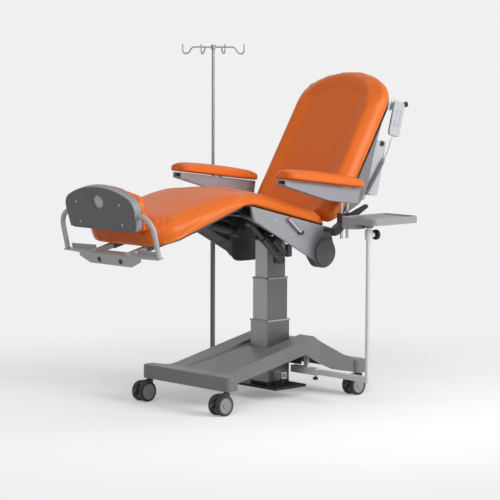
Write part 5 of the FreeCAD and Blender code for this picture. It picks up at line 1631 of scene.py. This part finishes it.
    def footrest(self) -> None:
        """Fit the footrest's shell, screws, boss disc and bracket plugs."""
        def low(*ends: Vector) -> bool:
            """Say whether a long edge lies along the plate's lower side."""
            level = LEG.local(np.array(ends))[:, 2]
            return bool((level < 71.0).all()) and (ends[0] - ends[1]).length > 0.1
        self.moulding("footrest_shell", "footrest_plate", LEG, self.plate_form, "plate_moulding",
                      "footrest", low)
        out = LEG.direction(-1, 0, 0)
        spots = [(154.0, 206.0), (-154.0, 206.0), (152.0, 110.0), (-152.0, 110.0)]
        places = [Bench.facing(LEG.world(-660.0, y, z), out) for y, z in spots]
        screws = Bench.stamped("footrest_screws", self.screw(), places)
        self.keep(screws, "screw_steel", "footrest")
        middle = [Bench.facing(LEG.world(-648.0, 0, 212.0), out)]
        boss = Bench.stamped("footrest_boss_disc", self.button(0.0285, 0.0022, 0.0009), middle)
        self.keep(boss, "boss_moulding", "footrest")
        places = [Bench.facing(LEG.world(-651.0, y, -74.0), out) for y in (77.0, -77.0)]
        plugs = Bench.stamped("bracket_plugs", self.button(0.0122, 0.0025, 0.001), places)
        self.keep(plugs, "black_moulding", "footrest")

    def side_covers(self) -> None:
        """Fit the side covers' skins and screws, and the rails' end blocks."""
        for side in SIDES:
            self.moulding("cover_skin_" + side, "side_cover_" + side, SEAT, self.cover_form,
                          "cover_moulding", "seat")
        spots = [(157.0, -23.0), (283.0, -70.0), (407.0, -36.0)]
        rail = Section(SEAT.x, SEAT.z, SEAT.turn + 26.35)
        x, _, z = rail.local(np.array([SEAT.world(333.0, 0, -49.0)]))[0]
        places, blocks = [], []
        for side in (-1, 1):
            out = Vector((0, side, 0))
            places += [Bench.facing(SEAT.world(x, side * 318.0, z), out) for x, z in spots]
            low = min(side * 320.0, side * 344.5)
            blocks.append(self.block(rail, (x - 9.0, low, z - 9.5), (x + 5.0, low + 24.5, z + 9.5),
                                     0.003))
        screws = Bench.stamped("cover_screws", self.screw(), places)
        self.keep(screws, "screw_steel", "seat")
        ends = Bench.joined("rail_end_blocks", blocks)
        self.keep(ends, "black_moulding", "seat")

    def back(self) -> None:
        """Fit the back's shell, the hand control, the push bar's caps and the cover's latches."""
        self.moulding("back_shell_skin", "back_shell", BACK, self.shell_form, "shell_moulding",
                      "back")
        self.moulding("hand_control", "handset", FLOOR, self.handset_form, "pale_moulding", "back")
        self.keys()
        bar = BACK.world(758.0, 0, -173.0)
        places = [Bench.facing(Vector((bar.x, side * 0.25, bar.z)), Vector((0, side, 0)))
                  for side in (-1, 1)]
        caps = Bench.stamped("push_bar_caps", self.button(0.0145, 0.005, 0.0012), places)
        self.keep(caps, "black_moulding", "back")
        latches = []
        for low in (-252.0, 240.0):
            corners = (494.0, low, -143.0), (516.0, low + 12.0, -122.0)
            latches.append(self.block(BACK, *corners, 0.004))
        self.keep(Bench.joined("rear_cover_latches", latches), "black_moulding", "back")

    def keys(self) -> None:
        """Set two columns of plain round keys into the hand control's face."""
        low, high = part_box("handset")
        middle = Vector(((low[0] + high[0]) / 2 + 0.0022, low[1], (low[2] + high[2]) / 2 + 0.011))
        lean = math.radians(15.0)
        across = Vector((math.cos(lean), 0, -math.sin(lean))) * 0.013
        up = Vector((math.sin(lean), 0, math.cos(lean))) * 0.018
        places = [Bench.facing(middle + across * side + up * row, Vector((0, -1, 0)))
                  for side in (-1, 1) for row in (-2, -1, 0, 1, 2)]
        keys = Bench.stamped("hand_control_keys", self.button(0.0062, 0.0016, 0.0005), places)
        self.keep(keys, "key_moulding", "back")

    def guard(self) -> None:
        """Fit the dark guard plate behind the drives and the box behind the column's head."""
        radius, wide, high = 0.1, 128.0, 93.0
        middle, slope = Vector((0.015, 0.0, 0.757)), math.tan(math.radians(SEAT.turn))

        def outline(points: np.ndarray) -> np.ndarray:
            """Turn a disc into a rounded plate whose top follows the seat.

            Args:
                points: Rows of x, y, z in millimetres.

            Returns:
                The shaped rows.
            """
            x, z = (points[:, i] / PER_METRE - middle[i] for i in (0, 2))
            x, z = (size * np.sign(part) * np.abs(part / radius) ** 0.4
                    for part, size in ((x, wide), (z, high)))
            lean = slope * x * (z + high) / (2 * high)
            shape = [middle.x * PER_METRE + x, points[:, 1], middle.z * PER_METRE + z - lean]
            return np.stack(shape, axis=1)
        faces = [middle + Vector((0, y, 0)) for y in (0.163, 0.168)]
        obj = Bench.drum("drive_guard", *faces, radius, 64)
        Bench.reshape(obj, FLOOR, outline)
        Bench.recess(obj, lambda centre, normal: normal.y < -0.9, 0.012, 0.0015)
        Bench.round_edges(obj, 0.001, 2)
        self.keep(obj, "dark_coat", "seat")
        box = [self.block(FLOOR, (84.0, -38.0, 690.0), (118.0, 76.0, 752.0), 0.006),
               self.block(FLOOR, (58.0, 57.0, 738.0), (96.0, 75.0, 751.0), 0.003)]
        self.keep(Bench.joined("column_head_box", box), "dark_coat", "column_upper")

    def collar(self, name: str, body: str, wide: float, deep: float, top: float) -> None:
        """Fit a pale collar round the top of one stage of the column.

        Args:
            name: The collar's name.
            body: The body it rides on.
            wide: Half the stage's size along the couch, in millimetres.
            deep: Half its size across the couch.
            top: Height of its top.
        """
        bars = []
        out_x, out_y = wide + self.collar_out, deep + self.collar_out
        for side in (-1, 1):
            end_x = sorted((side * (wide - self.collar_in), side * out_x))
            end_y = sorted((side * (deep - self.collar_in), side * out_y))
            for x, y in ((end_x, (-out_y, out_y)), ((-out_x, out_x), end_y)):
                corners = (x[0], y[0], top - 5.0), (x[1], y[1], top + 1.5)
                bars.append(Bench.slab("bar", FLOOR, *corners))
                Bench.round_edges(bars[-1], 0.0006, 2)
        self.keep(Bench.joined(name, bars), "bracket_coat", body)

    def build(self) -> None:
        """Fit everything."""
        self.collar("upper_collar", "column_middle", 71.0, 53.0, 594.0)
        self.collar("lower_collar", "base", 79.0, 61.0, 383.0)
        self.footrest()
        self.side_covers()
        self.back()
        self.guard()


@dataclass
class Couch:
    """The whole couch: finishes on its solids and all the added pieces.

    Attributes:
        finishes: The couch's finishes.
    """

    finishes: Finishes

    @staticmethod
    def dress() -> dict[str, list[str]]:
        """List the solids of the frame by their finish.

        Returns:
            Names of solids by the finish's name.
        """
        rows = {
            "base_moulding": "base_cover",
            "dark_coat": "base_frame seat_frame leg_frame back_frame column_head",
            "column_coat": "column_mid_tube column_inner_tube",
            "column_foot_coat": "column_outer_tube",
            "tube_coat": "tray_pole tray_bar push_bar accessory_sleeves",
            "pole_coat": "iv_pole iv_bar",
            "bracket_coat": "footrest_bracket",
            "arm_moulding": "arm_support_left arm_support_right",
            "cap_moulding": "cover_end_caps",
            "pale_moulding": "rear_cover",
            "tray_moulding": "tray_top",
            "black_moulding": "bar_thumb_screws iv_clamp_knob tray_clamp_knob arm_lever_left"
                              " arm_lever_right cord_gland",
            "drive_moulding": "tilt_actuator_housing leg_actuator_housing back_actuator_housing"
                              " tilt_actuator_rod",
            "bright_steel": "tray_rod side_rails leg_actuator_rod back_actuator_rod",
            "satin_steel": "iv_rod",
        }
        nodes = {finish: names.split() for finish, names in rows.items()}
        for end in ("front", "rear"):
            tags = [f"_{end}_{side}" for side in SIDES]
            nodes["wheel_" + end] = ["castor_wheels" + tag for tag in tags]
            nodes.setdefault("castor_moulding", []).extend(
                kind + tag for kind in ("castor_fork", "castor_brake") for tag in tags)
        return nodes

    def build(self) -> None:
        """Dress the solids and add every piece."""
        for finish, nodes in self.dress().items():
            for node in nodes:
                self.finishes.on(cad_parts[node], finish)
        CurlyCord(self.finishes).build()
        Fittings(self.finishes).build()
        Upholstery(self.finishes).build()


def main() -> None:
    """Build the studio and the couch."""
    logging.basicConfig(level=logging.INFO, format="%(message)s")
    Studio().build()
    Couch(Finishes()).build()
    LOG.info("couch built")


if __name__ == "__main__":
    main()
